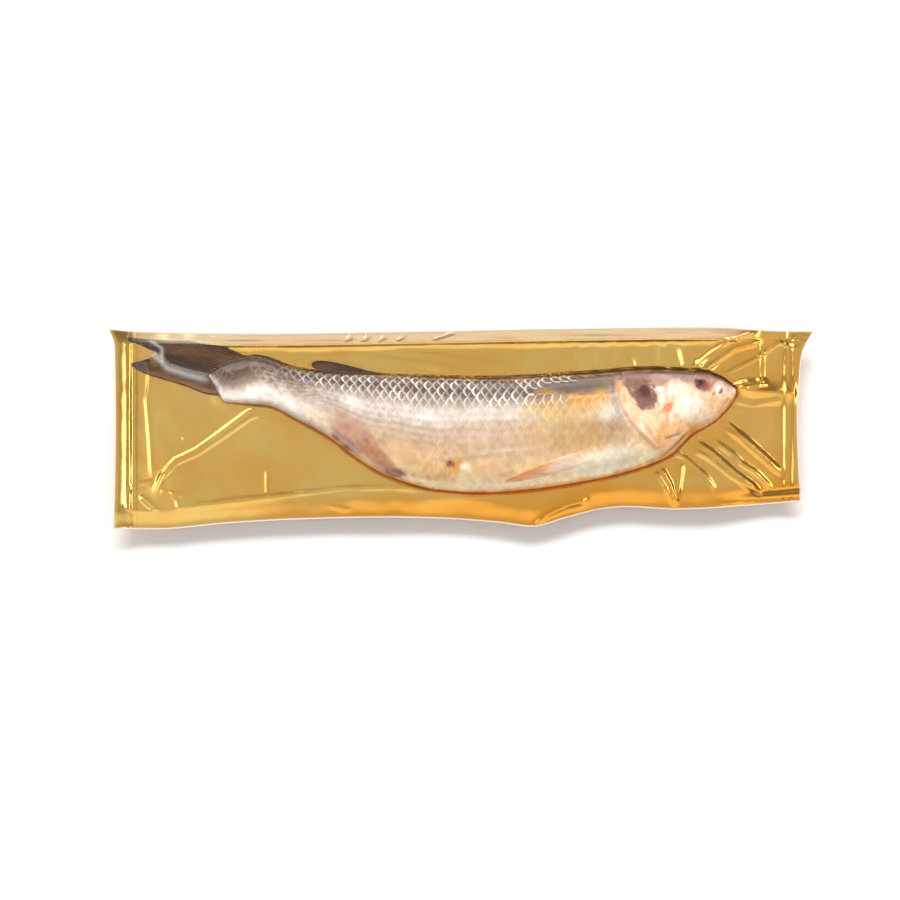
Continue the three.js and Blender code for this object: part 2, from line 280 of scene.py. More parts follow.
# Each dab: colour, x, y, half length, half width, turn in degrees, strength, raggedness.
DABS = [
    # shoulder and flank behind the gill cover: yellow fat and orange stain
    ("#d09a4c", 66, 14, 30, 9, 4, 0.6, 0.5),
    ("#e0902f", 78, 19, 13, 4.5, 10, 0.5, 0.5),
    ("#cda052", 62, -2, 34, 11, 0, 0.45, 0.6),
    ("#dab493", 22, -6, 40, 13, 0, 0.5, 0.3),
    ("#b9875a", 86, -2, 8, 5, -30, 0.45, 0.6),
    ("#efe0c4", 88, 10, 6, 7, 0, 0.5, 0.6),
    ("#a97f58", 94, 1, 4.5, 3, 0, 0.4, 0.8),
    ("#cbab88", 96, -9, 11, 6, -35, 0.5, 0.4),
    ("#8d8b86", 93.5, 16, 3, 9, 10, 0.4, 0.4),
    ("#6b4b39", 64, 31.5, 25, 5, 2, 0.7, 0.6),
    ("#6e5440", -137, 33, 17, 9, 16, 0.75, 0.5),
    ("#4f3b2b", -140, 35, 10, 5.5, 24, 0.5, 1.0),
    # belly
    ("#fff2d8", 88, -19, 28, 8, 12, 0.85, 0.4),
    ("#ffdcb0", 8, -32, 26, 5, -3, 0.5, 0.4),
    ("#dc9c52", -20, -26, 17, 5.5, -10, 0.6, 0.6),
    ("#efd9b2", -28, -25, 12, 3, -14, 0.5, 0.8),
    ("#a0896a", 8, -17, 26, 1.6, 6, 0.35, 0.6),
    ("#f4e3c4", 26, -13.5, 30, 1.4, 8, 0.4, 0.6),
    # red and brown stains along the rear of the belly
    ("#b27c70", -64, -5, 24, 10, -36, 0.55, 0.2),
    ("#9c5a50", -71, -8, 12, 3.4, -40, 0.5, 0.6),
    ("#b0622f", -51, -18, 17, 5, -40, 0.6, 0.45),
    ("#7a2f2b", -77, -5.5, 2.6, 1.2, -40, 0.75, 1.0),
    ("#7a2f2b", -70, -11.5, 2.2, 1.2, -40, 0.7, 1.0),
    ("#7d3a30", -58.5, -7, 1.2, 0.9, 0, 0.7, 1.0),
    ("#6a1e12", -40.5, -27.0, 6.0, 2.2, -14, 0.9, 0.9),
    ("#c98a6a", -45, -23, 9, 4, -30, 0.5, 0.9),
    # vent
    ("#e2963c", -3.5, -22.5, 5.5, 4.6, 0, 0.8, 0.6),
    ("#7c1f0f", -6.6, -21.6, 2.6, 1.9, -25, 0.95, 0.9),
    ("#fdf0cf", 1.9, -23.6, 3.4, 3.6, 0, 0.9, 0.4),
    # head
    ("#86675b", 114, 31.5, 20, 4.6, -2, 0.75, 0.7),
    ("#5f463e", 112, 34.5, 22, 1.8, -1, 0.8, 0.5),
    ("#8a6a62", 104, 30, 7, 3.5, 0, 0.6, 0.8),
    ("#e9a774", 96.5, 22, 2.6, 9, 12, 0.75, 0.4),
    ("#f2d5bb", 104, 6, 5, 13, 32, 0.6, 0.4),
    ("#f8e6cf", 112, 0, 5, 9, 34, 0.6, 0.3),
    ("#7c5749", 108, 26, 7.5, 8.0, 0, 0.85, 1.0),
    ("#704a45", 112, 18.5, 7.4, 6.4, -52, 0.85, 1.0),
    ("#452b28", 111.5, 22, 4.5, 3, -50, 0.6, 1.0),
    ("#caa08c", 122, 29, 9, 4, 0, 0.5, 0.9),
    ("#fffaf2", 120.4, 24, 3.0, 1.6, 8, 0.9, 0.7),
    ("#fbeee0", 121.5, 18, 2.4, 3, 0, 0.75, 0.9),
    ("#b9513a", 125.3, 12.5, 3.4, 2.4, 40, 0.55, 1.0),
    ("#e0955c", 123.5, 6, 3.6, 7.5, -8, 0.5, 0.6),
    ("#f3c9a8", 127.5, 8, 1.8, 2.4, 0, 0.8, 0.4),
    ("#f6e3d6", 127.3, 7.4, 2.0, 2.6, 0, 0.7, 0.6),
    ("#eebf9c", 103, 10, 4.5, 15, 26, 0.5, 0.2),
    ("#ecc79c", 109, 1, 4.5, 13, 34, 0.65, 0.3),
    ("#d59a7c", 116, -4, 1.4, 13, 36, 0.45, 0.5),
    ("#efc49a", 117, 8, 8, 7, 0, 0.5, 0.5),
    ("#f6e9da", 139, 13, 10, 9, 0, 0.85, 0.3),
    ("#f8eadb", 131, 25, 7, 6, 0, 0.6, 0.5),
    ("#f4d9c0", 150, 8, 9, 8, 30, 0.5, 0.4),
    ("#c59a62", 130, -5, 6.5, 1.4, 16, 0.5, 0.5),
    ("#edbd92", 129, -9, 8, 3.6, 38, 0.6, 0.4),
    # thin dark lines along the jaw and chin grooves: painted shade in these creases
    ("#8c7a68", 129, -4.4, 7.5, 0.55, 17, 0.75, 0.4),
    ("#7a5a44", 131, -9.8, 11, 0.6, 42, 0.8, 0.4),
    ("#b98f5f", 121, -17, 6, 2, 40, 0.4, 0.9),
    # eye, under its clear fatty lid
    ("#b5776a", 149.3, 27.6, 7.2, 5.6, 0, 0.85, 0.25),
    ("#8c4f4c", 147.2, 28.4, 4.6, 4.0, 0, 0.7, 0.2),
    # nostril and snout: the near-white streak is a painted glint, and the two dark marks are painted shade
    # in the nostrils
    ("#e9d3c4", 157.5, 25, 3.4, 4.6, -30, 0.6, 0.6),
    ("#77614f", 158.6, 22.5, 1.1, 2.4, -35, 0.8, 0.7),
    ("#80604e", 154.3, 21.2, 0.8, 1.8, -35, 0.6, 0.7),
    ("#fffaf4", 157.2, 24.6, 1.1, 2.6, -38, 0.95, 0.4),
]


def spread_colours(stops, t):
    """Colours blended through (position, #rrggbb) stops at every t."""
    at = [position for position, _ in stops]
    colours = np.array([srgb(text) for _, text in stops])
    return np.stack([np.interp(t, at, colours[:, k]) for k in range(3)], axis=-1)


def dab_share(x, y, dab):
    _, cx, cy, long, wide, turn, strength, ragged = dab
    angle = math.radians(turn)
    dx, dy = x - cx, y - cy
    along = (dx * math.cos(angle) + dy * math.sin(angle)) / long
    across = (dy * math.cos(angle) - dx * math.sin(angle)) / wide
    away = np.hypot(along, across) + 0.35 * ragged * cloud(x, y, 3.2, round(cx))
    away = away + 0.3 * ragged * noise(x, y, 1.0, round(cy))
    return strength * ramp(1.25, 0.3 + 0.5 * ragged, away)


def paint_skin(x, y, upper):
    """The skin's colour, as written sRGB, at points of either flank."""
    middle, half, _ = section(x)
    wander = 0.05 * cloud(x, y, 14, 5)
    u = np.clip((y - middle) / half + wander, -1, 1)
    # These belly-to-back colours carry painted light and shade besides the skin's own colour.
    colour = spread_colours(TRUNK, u)
    x, y = seen_from_above(x, y)
    root = ramp(-62, -108, x + 8 * cloud(x, y, 9, 11))[..., None]
    colour = mix(colour, spread_colours(TAIL_ROOT, u), root)
    head = ramp(-2, 3, x - GILL_EDGE(y))[..., None]
    colour = mix(colour, spread_colours(HEAD, u), head)
    # Faint pale lines run along the scale rows of the flank.
    rows = 0.5 + 0.5 * np.cos(u * 46 + 0.6 * noise(x, y, 30, 3))
    lines = rows * ramp(-0.35, 0.1, u) * ramp(0.6, 0.35, u) * ramp(60, 30, x)
    colour = mix(colour, srgb("#fbf6ef"), (0.45 * lines)[..., None])
    # Dark speckles on the tail root, and a fine mottle everywhere.
    speckle = ramp(0.25, 0.6, noise(x, y, 1.8, 21)) * ramp(-70, -112, x) * ramp(-0.5, 0.3, u)
    colour = mix(colour, srgb("#4d3a2e"), (0.55 * speckle)[..., None])
    mottle = 0.05 * cloud(x, y, 5, 31) + 0.035 * noise(x, y, 1.6, 37)
    colour = colour * (1 + mottle[..., None] * np.array([0.7, 1.0, 1.4]))
    for dab in DABS:
        share = dab_share(x, y, dab) * np.where(upper, 1, 0.25 + 0.75 * (dab[1] > 95))
        colour = mix(colour, srgb(dab[0]), share[..., None])
    flecks = 0.07 * noise(x, y, 2.6, 77) + 0.05 * noise(x, y, 1.1, 78) + 0.05 * cloud(x, y, 8, 79)
    return np.clip(colour * (1 + flecks[..., None] * np.array([0.7, 1.0, 1.35])), 0, 1)


def scale_contrast(x, y):
    """How plainly the scales show: dark with pale rims on the back, hardly at all on the belly."""
    middle, half, _ = section(x)
    u = (y - middle) / half
    plain = ramp(0.42, 0.72, u) * ramp(80, 58, x) * ramp(-116, -72, x)
    faint = ramp(-128, -95, x) * 0.1 + 0.12 * ramp(-0.1, 0.4, u) + 0.12 * noise(x, y, 11, 61)
    return np.clip(faint + plain, 0, 1)


# ---- Meshes ----


def make_object(name, points, faces, material, caps=()):
    """An object at the origin from points in millimetres, quads, and rings of points to close."""
    mesh = bpy.data.meshes.new(name)
    mesh.from_pydata((np.asarray(points, float) * MM).tolist(), [], faces.tolist() + list(caps))
    mesh.shade_smooth()
    mesh.materials.append(material)
    piece = bpy.data.objects.new(name, mesh)
    bpy.context.scene.collection.objects.link(piece)
    return piece


def store(piece, name, values):
    """Stores numbers or colours on a piece's points, for its material to read."""
    values = np.asarray(values, float)
    kind = "FLOAT" if values.ndim == 1 else "FLOAT_VECTOR"
    attribute = piece.data.attributes.new(name, kind, "POINT")
    attribute.data.foreach_set("value" if kind == "FLOAT" else "vector", values.ravel())


def grid_faces(rows, columns):
    """Quads over a grid of points, facing up where rows run along +X and columns along +Y."""
    i, j = np.meshgrid(np.arange(rows - 1), np.arange(columns - 1), indexing="ij")
    a = (i * columns + j).ravel()
    return np.stack([a, a + columns, a + columns + 1, a + 1], axis=1)


def slab(x, y, low, high):
    """Points and quads of a closed sheet between two surfaces over one grid."""
    rows, columns = x.shape
    count = x.size
    points = np.concatenate([
        np.stack([x, y, high], axis=-1).reshape(-1, 3),
        np.stack([x, y, low], axis=-1).reshape(-1, 3),
    ])
    top = grid_faces(rows, columns)
    ids = np.arange(count).reshape(rows, columns)
    rim = np.concatenate([ids[:, 0], ids[-1, 1:], ids[-2::-1, -1], ids[0, -2:0:-1]])
    after = np.roll(rim, -1)
    walls = np.stack([rim + count, after + count, after, rim], axis=1)
    return points, np.concatenate([top, top[:, ::-1] + count, walls])


# ---- Materials ----


def add(tree, kind, inputs=None, **settings):
    """A node with its settings and its inputs, each a value or the socket that feeds it."""
    node = tree.nodes.new(kind)
    for key, value in settings.items():
        setattr(node, key, value)
    for key, value in (inputs or {}).items():
        if isinstance(value, bpy.types.NodeSocket):
            tree.links.new(value, node.inputs[key])
        else:
            node.inputs[key].default_value = value
    return node


def new_material(name):
    material = bpy.data.materials.new(name)
    material.use_nodes = True
    material.node_tree.nodes.clear()
    return material, material.node_tree


def finish_material(tree, shader):
    output = add(tree, "ShaderNodeOutputMaterial")
    tree.links.new(shader, output.inputs["Surface"])


def blend_colour(tree, share, a, b, mode="MIX"):
    node = add(tree, "ShaderNodeMix", data_type="RGBA", blend_type=mode)
    for socket, value in (("Factor_Float", share), ("A_Color", a), ("B_Color", b)):
        target = next(s for s in node.inputs if s.identifier == socket)
        if isinstance(value, bpy.types.NodeSocket):
            tree.links.new(value, target)
        else:
            target.default_value = value
    return next(s for s in node.outputs if s.identifier == "Result_Color")


def calculate(tree, operation, a, b=0.5, c=0.5):
    return add(tree, "ShaderNodeMath", {0: a, 1: b, 2: c}, operation=operation).outputs[0]


def step_up(tree, value, low, high, to_low=0.0, to_high=1.0):
    """A smooth step from to_low to to_high as value goes from low to high."""
    inputs = {"Value": value, 1: low, 2: high, 3: to_low, 4: to_high}
    return add(tree, "ShaderNodeMapRange", inputs, interpolation_type="SMOOTHSTEP").outputs[0]


def fish_skin():
    """Salted fish skin, pressed wet against film: soft flesh sheen and a fine leathery grain."""
    material, tree = new_material("salted_fish_skin")
    place = add(tree, "ShaderNodeTexCoord").outputs["Object"]
    colour = add(tree, "ShaderNodeAttribute", attribute_name="skin").outputs["Color"]
    grain = add(tree, "ShaderNodeTexNoise", {"Vector": place, "Scale": SKIN_GRAIN, "Detail": 4.0})
    mottle = step_up(tree, grain.outputs["Fac"], 0.3, 0.7, 0.9, 1.06)
    shade = add(tree, "ShaderNodeCombineXYZ", {0: mottle, 1: mottle, 2: mottle}).outputs[0]
    tinted = add(tree, "ShaderNodeVectorMath", {0: colour, 1: shade}, operation="MULTIPLY")
    bump_inputs = {"Height": grain.outputs["Fac"], "Distance": 0.0002, "Strength": 0.35}
    bump = add(tree, "ShaderNodeBump", bump_inputs)
    shader = add(
        tree,
        "ShaderNodeBsdfPrincipled",
        {
            "Base Color": tinted.outputs[0],
            "Roughness": 0.55,
            "Specular IOR Level": 0.1,
            "Normal": bump.outputs["Normal"],
            "Subsurface Weight": 0.12,
            "Subsurface Radius": (0.0024, 0.0012, 0.0007),
            "Subsurface Scale": 1.0,
        },
    )
    finish_material(tree, shader.outputs["BSDF"])
    return material


def fish_scales():
    """Bony scales with a dark middle and a pale thin rim, partly the rim's own colour and partly a painted
    highlight where the light catches the rims in a net.
    """
    material, tree = new_material("fish_scales")
    colour = add(tree, "ShaderNodeAttribute", attribute_name="skin").outputs["Color"]
    tile = add(tree, "ShaderNodeAttribute", attribute_name="tile").outputs["Vector"]
    shows = add(tree, "ShaderNodeAttribute", attribute_name="contrast").outputs["Fac"]
    tone = add(tree, "ShaderNodeAttribute", attribute_name="tone").outputs["Fac"]
    along, across, _ = add(tree, "ShaderNodeSeparateXYZ", {0: tile}).outputs
    edge = calculate(tree, "MAXIMUM", along, calculate(tree, "ABSOLUTE", across))
    rim = step_up(tree, edge, 0.66, 0.96)
    middle = calculate(tree, "SUBTRACT", 1.0, rim)
    dark = calculate(tree, "MULTIPLY", middle, calculate(tree, "MULTIPLY", shows, 0.55))
    # Each scale's rim is painted paler by a share that differs at random: partly its own colour, partly a
    # painted highlight.
    rim_glint = step_up(tree, tone, 0.0, 1.0, 0.3, 0.75)
    pale = calculate(tree, "MULTIPLY", rim, calculate(tree, "MULTIPLY", shows, rim_glint))
    shaded = blend_colour(tree, dark, colour, linear("#4d4038"))
    rimmed = blend_colour(tree, pale, shaded, linear("#f1e8df"))
    differs = calculate(tree, "MULTIPLY", calculate(tree, "SUBTRACT", tone, 0.5), shows)
    light = calculate(tree, "MULTIPLY_ADD", differs, 0.42, 0.99)
    grey = add(tree, "ShaderNodeCombineXYZ", {0: light, 1: light, 2: light}).outputs[0]
    final = add(tree, "ShaderNodeVectorMath", {0: rimmed, 1: grey}, operation="MULTIPLY").outputs[0]
    shader = add(
        tree,
        "ShaderNodeBsdfPrincipled",
        {
            "Base Color": final,
            "Roughness": 0.4,
            "Subsurface Weight": 0.08,
            "Subsurface Radius": (0.0015, 0.001, 0.0007),
            "Subsurface Scale": 1.0,
            "Specular IOR Level": 0.22,
        },
    )
    finish_material(tree, shader.outputs["BSDF"])
    return material


def fin_membrane():
    """Dried fin: brown skin stretched over stiff rays that stand out as fine lines."""
    material, tree = new_material("dried_fin_membrane")
    colour = add(tree, "ShaderNodeAttribute", attribute_name="skin").outputs["Color"]
    ray = add(tree, "ShaderNodeAttribute", attribute_name="ray").outputs["Fac"]
    place = add(tree, "ShaderNodeTexCoord").outputs["Object"]
    grain_inputs = {"Vector": place, "Scale": FIN_GRAIN, "Detail": 3.0}
    grain = add(tree, "ShaderNodeTexNoise", grain_inputs).outputs["Fac"]
    lines = blend_colour(tree, step_up(tree, ray, 0.45, 0.9, 0.0, 0.13), colour, linear("#b08d6c"))
    dirt = blend_colour(tree, step_up(tree, grain, 0.45, 0.75, 0.0, 0.12), lines, linear("#2c1c12"))
    bump = add(tree, "ShaderNodeBump", {"Height": grain, "Distance": 0.0002, "Strength": 0.4})
    inputs = {
        "Base Color": dirt, "Roughness": 0.5, "Specular IOR Level": 0.12, "Normal": bump.outputs["Normal"]
    }
    finish_material(tree, add(tree, "ShaderNodeBsdfPrincipled", inputs).outputs["BSDF"])
    return material


def eye_lens():
    """A clouded eye: dark pupil in a dull red-brown iris, dulled by the salt."""
    material, tree = new_material("clouded_eye")
    colour = add(tree, "ShaderNodeAttribute", attribute_name="skin").outputs["Color"]
    inputs = {"Base Color": colour, "Roughness": 0.25, "Specular IOR Level": 0.2}
    finish_material(tree, add(tree, "ShaderNodeBsdfPrincipled", inputs).outputs["BSDF"])
    return material


def gold_foil(colour, roughness):
    """Metallised polyester film: a gold mirror, a little blurred by the plastic over the metal."""
    material, tree = new_material("gold_metallised_film")
    place = add(tree, "ShaderNodeTexCoord").outputs["Object"]
    orange_reflection_and_mottle = add(tree, "ShaderNodeAttribute", attribute_name="orange_reflection_and_mottle").outputs["Fac"]
    aslant = add(tree, "ShaderNodeLayerWeight", {"Blend": 0.35}).outputs["Facing"]
    drift_inputs = {"Vector": place, "Scale": LACQUER_DRIFT, "Detail": 4.0}
    drift = add(tree, "ShaderNodeTexNoise", drift_inputs).outputs["Fac"]
    # The yellow lacquer over the metal looks more orange where the foil is seen aslant. The orange added
    # along the lower margin, beside the belly and by the head is painted reflection colour, with a faint
    # mottle.
    orange = calculate(tree, "ADD", orange_reflection_and_mottle, step_up(tree, aslant, 0.02, 0.3, 0.0, 0.8))
    orange = calculate(tree, "MULTIPLY", orange, step_up(tree, aslant, 0.4, 0.7, 1.0, 0.2))
    orange = calculate(tree, "ADD", orange, step_up(tree, drift, 0.35, 0.7, 0.0, 0.45))
    tint = blend_colour(tree, calculate(tree, "MINIMUM", orange, 1.0), tuple(colour), linear("#ffb338"))
    soft_inputs = {"Vector": place, "Scale": FOIL_WAVES, "Detail": 2.0}
    soft = add(tree, "ShaderNodeTexNoise", soft_inputs).outputs["Fac"]
    fine_inputs = {"Vector": place, "Scale": FOIL_GRAIN, "Detail": 3.0}
    fine = add(tree, "ShaderNodeTexNoise", fine_inputs).outputs["Fac"]
    waves = add(tree, "ShaderNodeBump", {"Height": soft, "Distance": 0.0012, "Strength": 0.35})
    grain = add(
        tree,
        "ShaderNodeBump",
        {"Height": fine, "Distance": 0.00012, "Strength": 0.25, "Normal": waves.outputs["Normal"]},
    )
    shader = add(
        tree,
        "ShaderNodeBsdfPrincipled",
        {
            "Base Color": tint,
            "Metallic": 1.0,
            "Roughness": roughness,
            "Normal": grain.outputs["Normal"],
        },
    )
    finish_material(tree, shader.outputs["BSDF"])
    return material


def clear_film(ior, roughness):
    """Clear vacuum-pouch film: seen only by its glints, faintly hazed where it is folded or sealed, and
    with a painted highlight along its cut edge.
    """
    material, tree = new_material("clear_pouch_film")
    place = add(tree, "ShaderNodeTexCoord").outputs["Object"]
    fine_inputs = {"Vector": place, "Scale": FILM_GRAIN, "Detail": 3.0}
    fine = add(tree, "ShaderNodeTexNoise", fine_inputs).outputs["Fac"]
    bump_inputs = {"Height": fine, "Distance": 0.0003, "Strength": 0.3}
    bump = add(tree, "ShaderNodeBump", bump_inputs).outputs["Normal"]
    haze_and_edge_glint = add(tree, "ShaderNodeAttribute", attribute_name="haze_and_edge_glint").outputs["Fac"]
    shine = add(tree, "ShaderNodeFresnel", {"IOR": ior, "Normal": bump}).outputs[0]
    # Capped, so that the film's steep sides don't veil the fish behind them.
    shine = calculate(tree, "MULTIPLY", shine, FILM_SHINE)
    shine = calculate(tree, "MINIMUM", shine, MOST_SHINE)
    open_film = add(tree, "ShaderNodeBsdfTransparent", {"Color": (1, 1, 1, 1)}).outputs[0]
    gloss_inputs = {"Color": (1, 1, 1, 1), "Roughness": roughness, "Normal": bump}
    gloss = add(tree, "ShaderNodeBsdfAnisotropic", gloss_inputs).outputs[0]
    haze = add(tree, "ShaderNodeBsdfDiffuse", {"Color": linear("#f4efe8")}).outputs[0]
    body = add(tree, "ShaderNodeMixShader", {0: haze_and_edge_glint, 1: open_film, 2: haze}).outputs[0]
    finish_material(tree, add(tree, "ShaderNodeMixShader", {0: shine, 1: body, 2: gloss}).outputs[0])
    return material


# ---- The pouch's form ----


def edge(points, along, across):
    line = curve(points)
    return lambda t: across * line(t / along)


# The pouch's four edges as in the CAD part, in shares of half its length and half its width.
TOP_EDGE = edge(
    [
        (-1, 0.98), (-0.9, 0.956), (-0.55, 0.938), (-0.18, 0.956), (0.28, 0.984), (0.71, 1),
        (0.88, 0.967), (1, 0.959),
    ],
    HALF_LENGTH, HALF_WIDTH,
)
BOTTOM_EDGE = edge(
    [
        (-0.986, -0.993), (-0.87, -1), (-0.665, -0.941), (-0.467, -0.902), (-0.21, -0.882),
        (-0.066, -0.892), (0.108, -0.934), (0.2, -0.974), (0.3, -0.885), (0.396, -0.803),
        (0.47, -0.779), (0.61, -0.803), (0.86, -0.754), (0.967, -0.721),
    ],
    HALF_LENGTH, HALF_WIDTH,
)
LEFT_EDGE = edge(
    [(-1, -0.986), (-0.574, -0.9825), (0.115, -0.98), (0.82, -0.984), (0.98, -1)],
    HALF_WIDTH, HALF_LENGTH,
)
RIGHT_EDGE = edge(
    [(-0.72, 0.967), (-0.43, 0.959), (0.115, 0.955), (0.59, 0.962), (0.75, 0.969), (0.959, 1)],
    HALF_WIDTH, HALF_LENGTH,
)

# Folds pressed into both sheets: height, half width at the start and at the end, shape and course.
# A ridge has one crest, and a pleat two with a dip between them.
FOLDS = [
    (0.9, 2.4, 2.0, "ridge", [(-187, 44), (-188, 26), (-189.4, 17), (-187.5, -6), (-186, -31)]),
    (2.4, 2.2, 4.6, "pleat", [(-185, -40), (-180, -29), (-172, -20), (-159, -14), (-144, -3.6),
                              (-128, 8), (-116, 12.5)]),
    (1.3, 2.0, 2.6, "ridge", [(-201, -38), (-194, -33.5), (-185, -32)]),
    (1.6, 2.6, 3.2, "ridge", [(-194, -40), (-187, -46), (-182, -50)]),
    (1.1, 1.8, 1.2, "ridge", [(-205, -46), (-197, -49.5), (-184, -50.5)]),
    (1.0, 1.6, 1.8, "ridge", [(-182, -37), (-176, -39), (-166, -41)]),
    (0.8, 1.4, 1.8, "ridge", [(-176, -36), (-171, -44), (-170, -50)]),
    (1.3, 3.4, 4.0, "ridge", [(-181, -48.5), (-159, -46.5), (-117, -42), (-74, -36.5), (-43, -35.6),
                              (-8, -38)]),
    (0.5, 2.0, 2.2, "ridge", [(-150, -43.5), (-120, -41), (-84, -38)]),
    (2.6, 5.4, 2.6, "pleat", [(138, -9), (150, -16), (163, -27), (181, -39)]),
    (2.0, 4.4, 2.6, "ridge", [(150, -6), (163.7, -15.8), (168.3, -21), (177.7, -27), (189, -38)]),
    (1.8, 4.0, 3.0, "ridge", [(160, -1), (171, -6.5), (186, -20.5), (197, -32)]),
    (2.4, 3.6, 3.0, "pleat", [(157, 4), (167, -4.3), (179, -15), (194, -28)]),
    (2.2, 3.0, 2.6, "pleat", [(160, 23.5), (172, 26.6), (186, 28)]),
    (2.8, 5.6, 6.4, "pleat", [(139, 32), (150, 41), (164, 51), (182, 56)]),
    (1.6, 2.4, 2.4, "ridge", [(156, 31), (176, 41), (191.8, 51.5), (204, 47)]),
    (1.4, 3.2, 3.6, "ridge", [(162, 17), (176, 14), (194, 17)]),
    (1.6, 2.4, 2.8, "ridge", [(126, -14), (135, -18), (146.5, -28), (154, -38)]),
    (2.2, 4.8, 2.2, "pleat", [(118, -24), (124.5, -34), (130, -48)]),
    (1.6, 4.0, 2.2, "ridge", [(133, -20), (131.5, -33), (130, -48)]),
    (1.6, 2.0, 2.4, "ridge", [(169, -29), (172, -32.6), (177.6, -36.8), (182, -42)]),
    (3.0, 6.0, 2.4, "ridge", [(78, -43), (64, -46.5), (52, -52), (43, -60)]),
    (4.2, 9.0, 11.0, "ridge", [(164, 24), (182, 22), (203, 21)]),
    (0.8, 1.6, 1.6, "ridge", [(-168, -6), (-166.4, -6)]),
    (0.7, 1.3, 1.3, "ridge", [(-171, -11), (-169.6, -11)]),
    (0.6, 1.2, 1.2, "ridge", [(-149, -20), (-147.8, -20)]),
    (3.2, 1.3, 1.3, "ridge", [(-70, 51.5), (-65, 56.5)]),
    (3.2, 1.3, 1.3, "ridge", [(-60, 51.5), (-54, 57)]),
    (3.2, 1.3, 1.3, "ridge", [(-50, 51.5), (-44, 57)]),
    (3.2, 1.3, 1.3, "ridge", [(-39, 52), (-32, 57.5)]),
    (3.0, 1.2, 1.2, "ridge", [(-18, 53), (-10, 55.5), (-3, 58)]),
    (0.7, 1.1, 1.1, "ridge", [(1.8, -38), (1.8, -51)]),
    (0.6, 1.1, 1.1, "ridge", [(-33, -39), (-33, -50)]),
    (0.9, 2.2, 2.2, "ridge", [(-117, -24), (-117, -42)]),
    (0.8, 1.8, 1.8, "ridge", [(-80, -46), (-73, -48.4), (-66, -49.5)]),
    (0.7, 4.2, 4.2, "ridge", [(-76, 44.5), (-52, 42), (-24, 38.5), (8, 33.5)]),
    (0.6, 3.4, 3.4, "ridge", [(-44, 47.5), (-10, 43.5), (34, 35.5)]),
    (0.8, 2.8, 2.8, "ridge", [(98, 49), (102, 43), (104, 36)]),
    (0.9, 2.8, 2.8, "ridge", [(123, 51), (130, 45), (133, 37)]),
    (1.0, 3.2, 2.6, "ridge", [(136, 50), (139, 41), (146, 36)]),
    (0.7, 1.4, 1.4, "ridge", [(179.3, 52), (179.6, 24)]),
    (0.6, 1.4, 1.4, "ridge", [(182.4, 51), (182, 26)]),
]

# Folds of the film alone, where the vacuum gathered it over the fish's two ends.
FILM_FOLDS = [
    (1.3, 3.0, 4.0, "pleat", [(-189, 47), (-182, 42), (-176, 36), (-163.5, 32), (-149, 28.5)]),
    (1.0, 1.4, 1.8, "ridge", [(-188, 53), (-180, 48), (-179.5, 38)]),
    (1.0, 1.2, 1.8, "ridge", [(-199, 54), (-189, 48), (-181, 50)]),
    (0.8, 1.2, 1.2, "ridge", [(-190, 42), (-186, 31), (-188, 20)]),
    (0.8, 1.2, 1.2, "ridge", [(-179, 40), (-184, 31), (-186, 22)]),
    (0.9, 0.9, 1.2, "ridge", [(-153, 32), (-148, 25), (-143.2, 15)]),
    (0.9, 0.9, 1.2, "ridge", [(-150, 33), (-145, 26), (-142.6, 16)]),
    (0.8, 1.0, 1.2, "ridge", [(-153, 31.5), (-140, 38.5), (-124, 43.6)]),
    (1.4, 1.6, 3.0, "ridge", [(-143.5, 15.6), (-135, 17.2), (-127, 17.8), (-112, 16)]),
    (0.5, 0.9, 0.9, "ridge", [(-107.5, 34), (-107.8, 29), (-109.5, 20)]),
    (0.5, 0.9, 0.9, "ridge", [(-110, 34), (-110.6, 27), (-112, 16)]),
    (1.2, 1.6, 1.6, "ridge", [(116, 36.4), (127, 37), (139, 35)]),
    (1.2, 1.8, 1.8, "ridge", [(158, 21), (166, 17.5), (171, 15)]),
    (1.2, 1.8, 1.8, "ridge", [(154, 9), (161, 12.5), (170, 10)]),
    (1.0, 1.6, 1.6, "ridge", [(156, 28), (163, 25.5), (172, 24)]),
    (0.9, 1.1, 1.1, "ridge", [(134, 3), (141, -4), (148, -12)]),
    (0.9, 1.1, 1.1, "ridge", [(123, -20), (133, -14), (144, -11), (151, -7)]),
    (0.7, 1.1, 1.1, "ridge", [(146, -1), (153, 5), (160, 14)]),
]


def rise(height, distance, width):
    return height * (1 - ramp(0, width, distance))


def curl(x, y):
    """How far the pouch's margin curls up off the seam plane, or droops along the belly's side."""
    along = ramp(-200, -120, x) * (1 - ramp(120, 195, x))
    top = rise(4.2 * along, TOP_EDGE(x) - y, 13)
    bottom = rise(-1.9, y - BOTTOM_EDGE(x), 13)
    return top + bottom + rise(4.2, x - LEFT_EDGE(y), 14) + rise(2.4, RIGHT_EDGE(y) - x, 14)


def fold(x, y, height, start, end, shape, points):
    """One fold's height, fading in and out at its two ends."""
    away, along = to_path(x, y, points)
    share = away / mix(start, end, along)
    if shape == "pleat":
        profile = np.interp(share, [0, 0.3, 0.5, 0.62, 1], [0.45, 0.7, 1, 0.55, 0])
    else:
        profile = np.maximum(0, 1 - share) ** 1.7
    return height * profile * ramp(0, 0.16, along) * ramp(1, 0.84, along)


def outline_of_fish():
    behind = np.linspace(0, BODY_END, 90)
    x = SNOUT_X - behind * FISH_LENGTH
    back, belly = FISH_DEPTH * BACK(behind), FISH_DEPTH * BELLY(behind)
    return list(zip(x, back)) + list(zip(x[::-1], belly[::-1])) + [(x[0], back[0])]


def off_the_fish(x, y):
    """Distance out from the fish's outline, 0 over the fish."""
    middle, half, _ = section(x)
    behind = (SNOUT_X - x) / FISH_LENGTH
    inside = (np.abs(y - middle) <= half) & (behind >= 0) & (behind <= BODY_END)
    return np.where(inside, 0, to_path(x, y, outline_of_fish())[0])


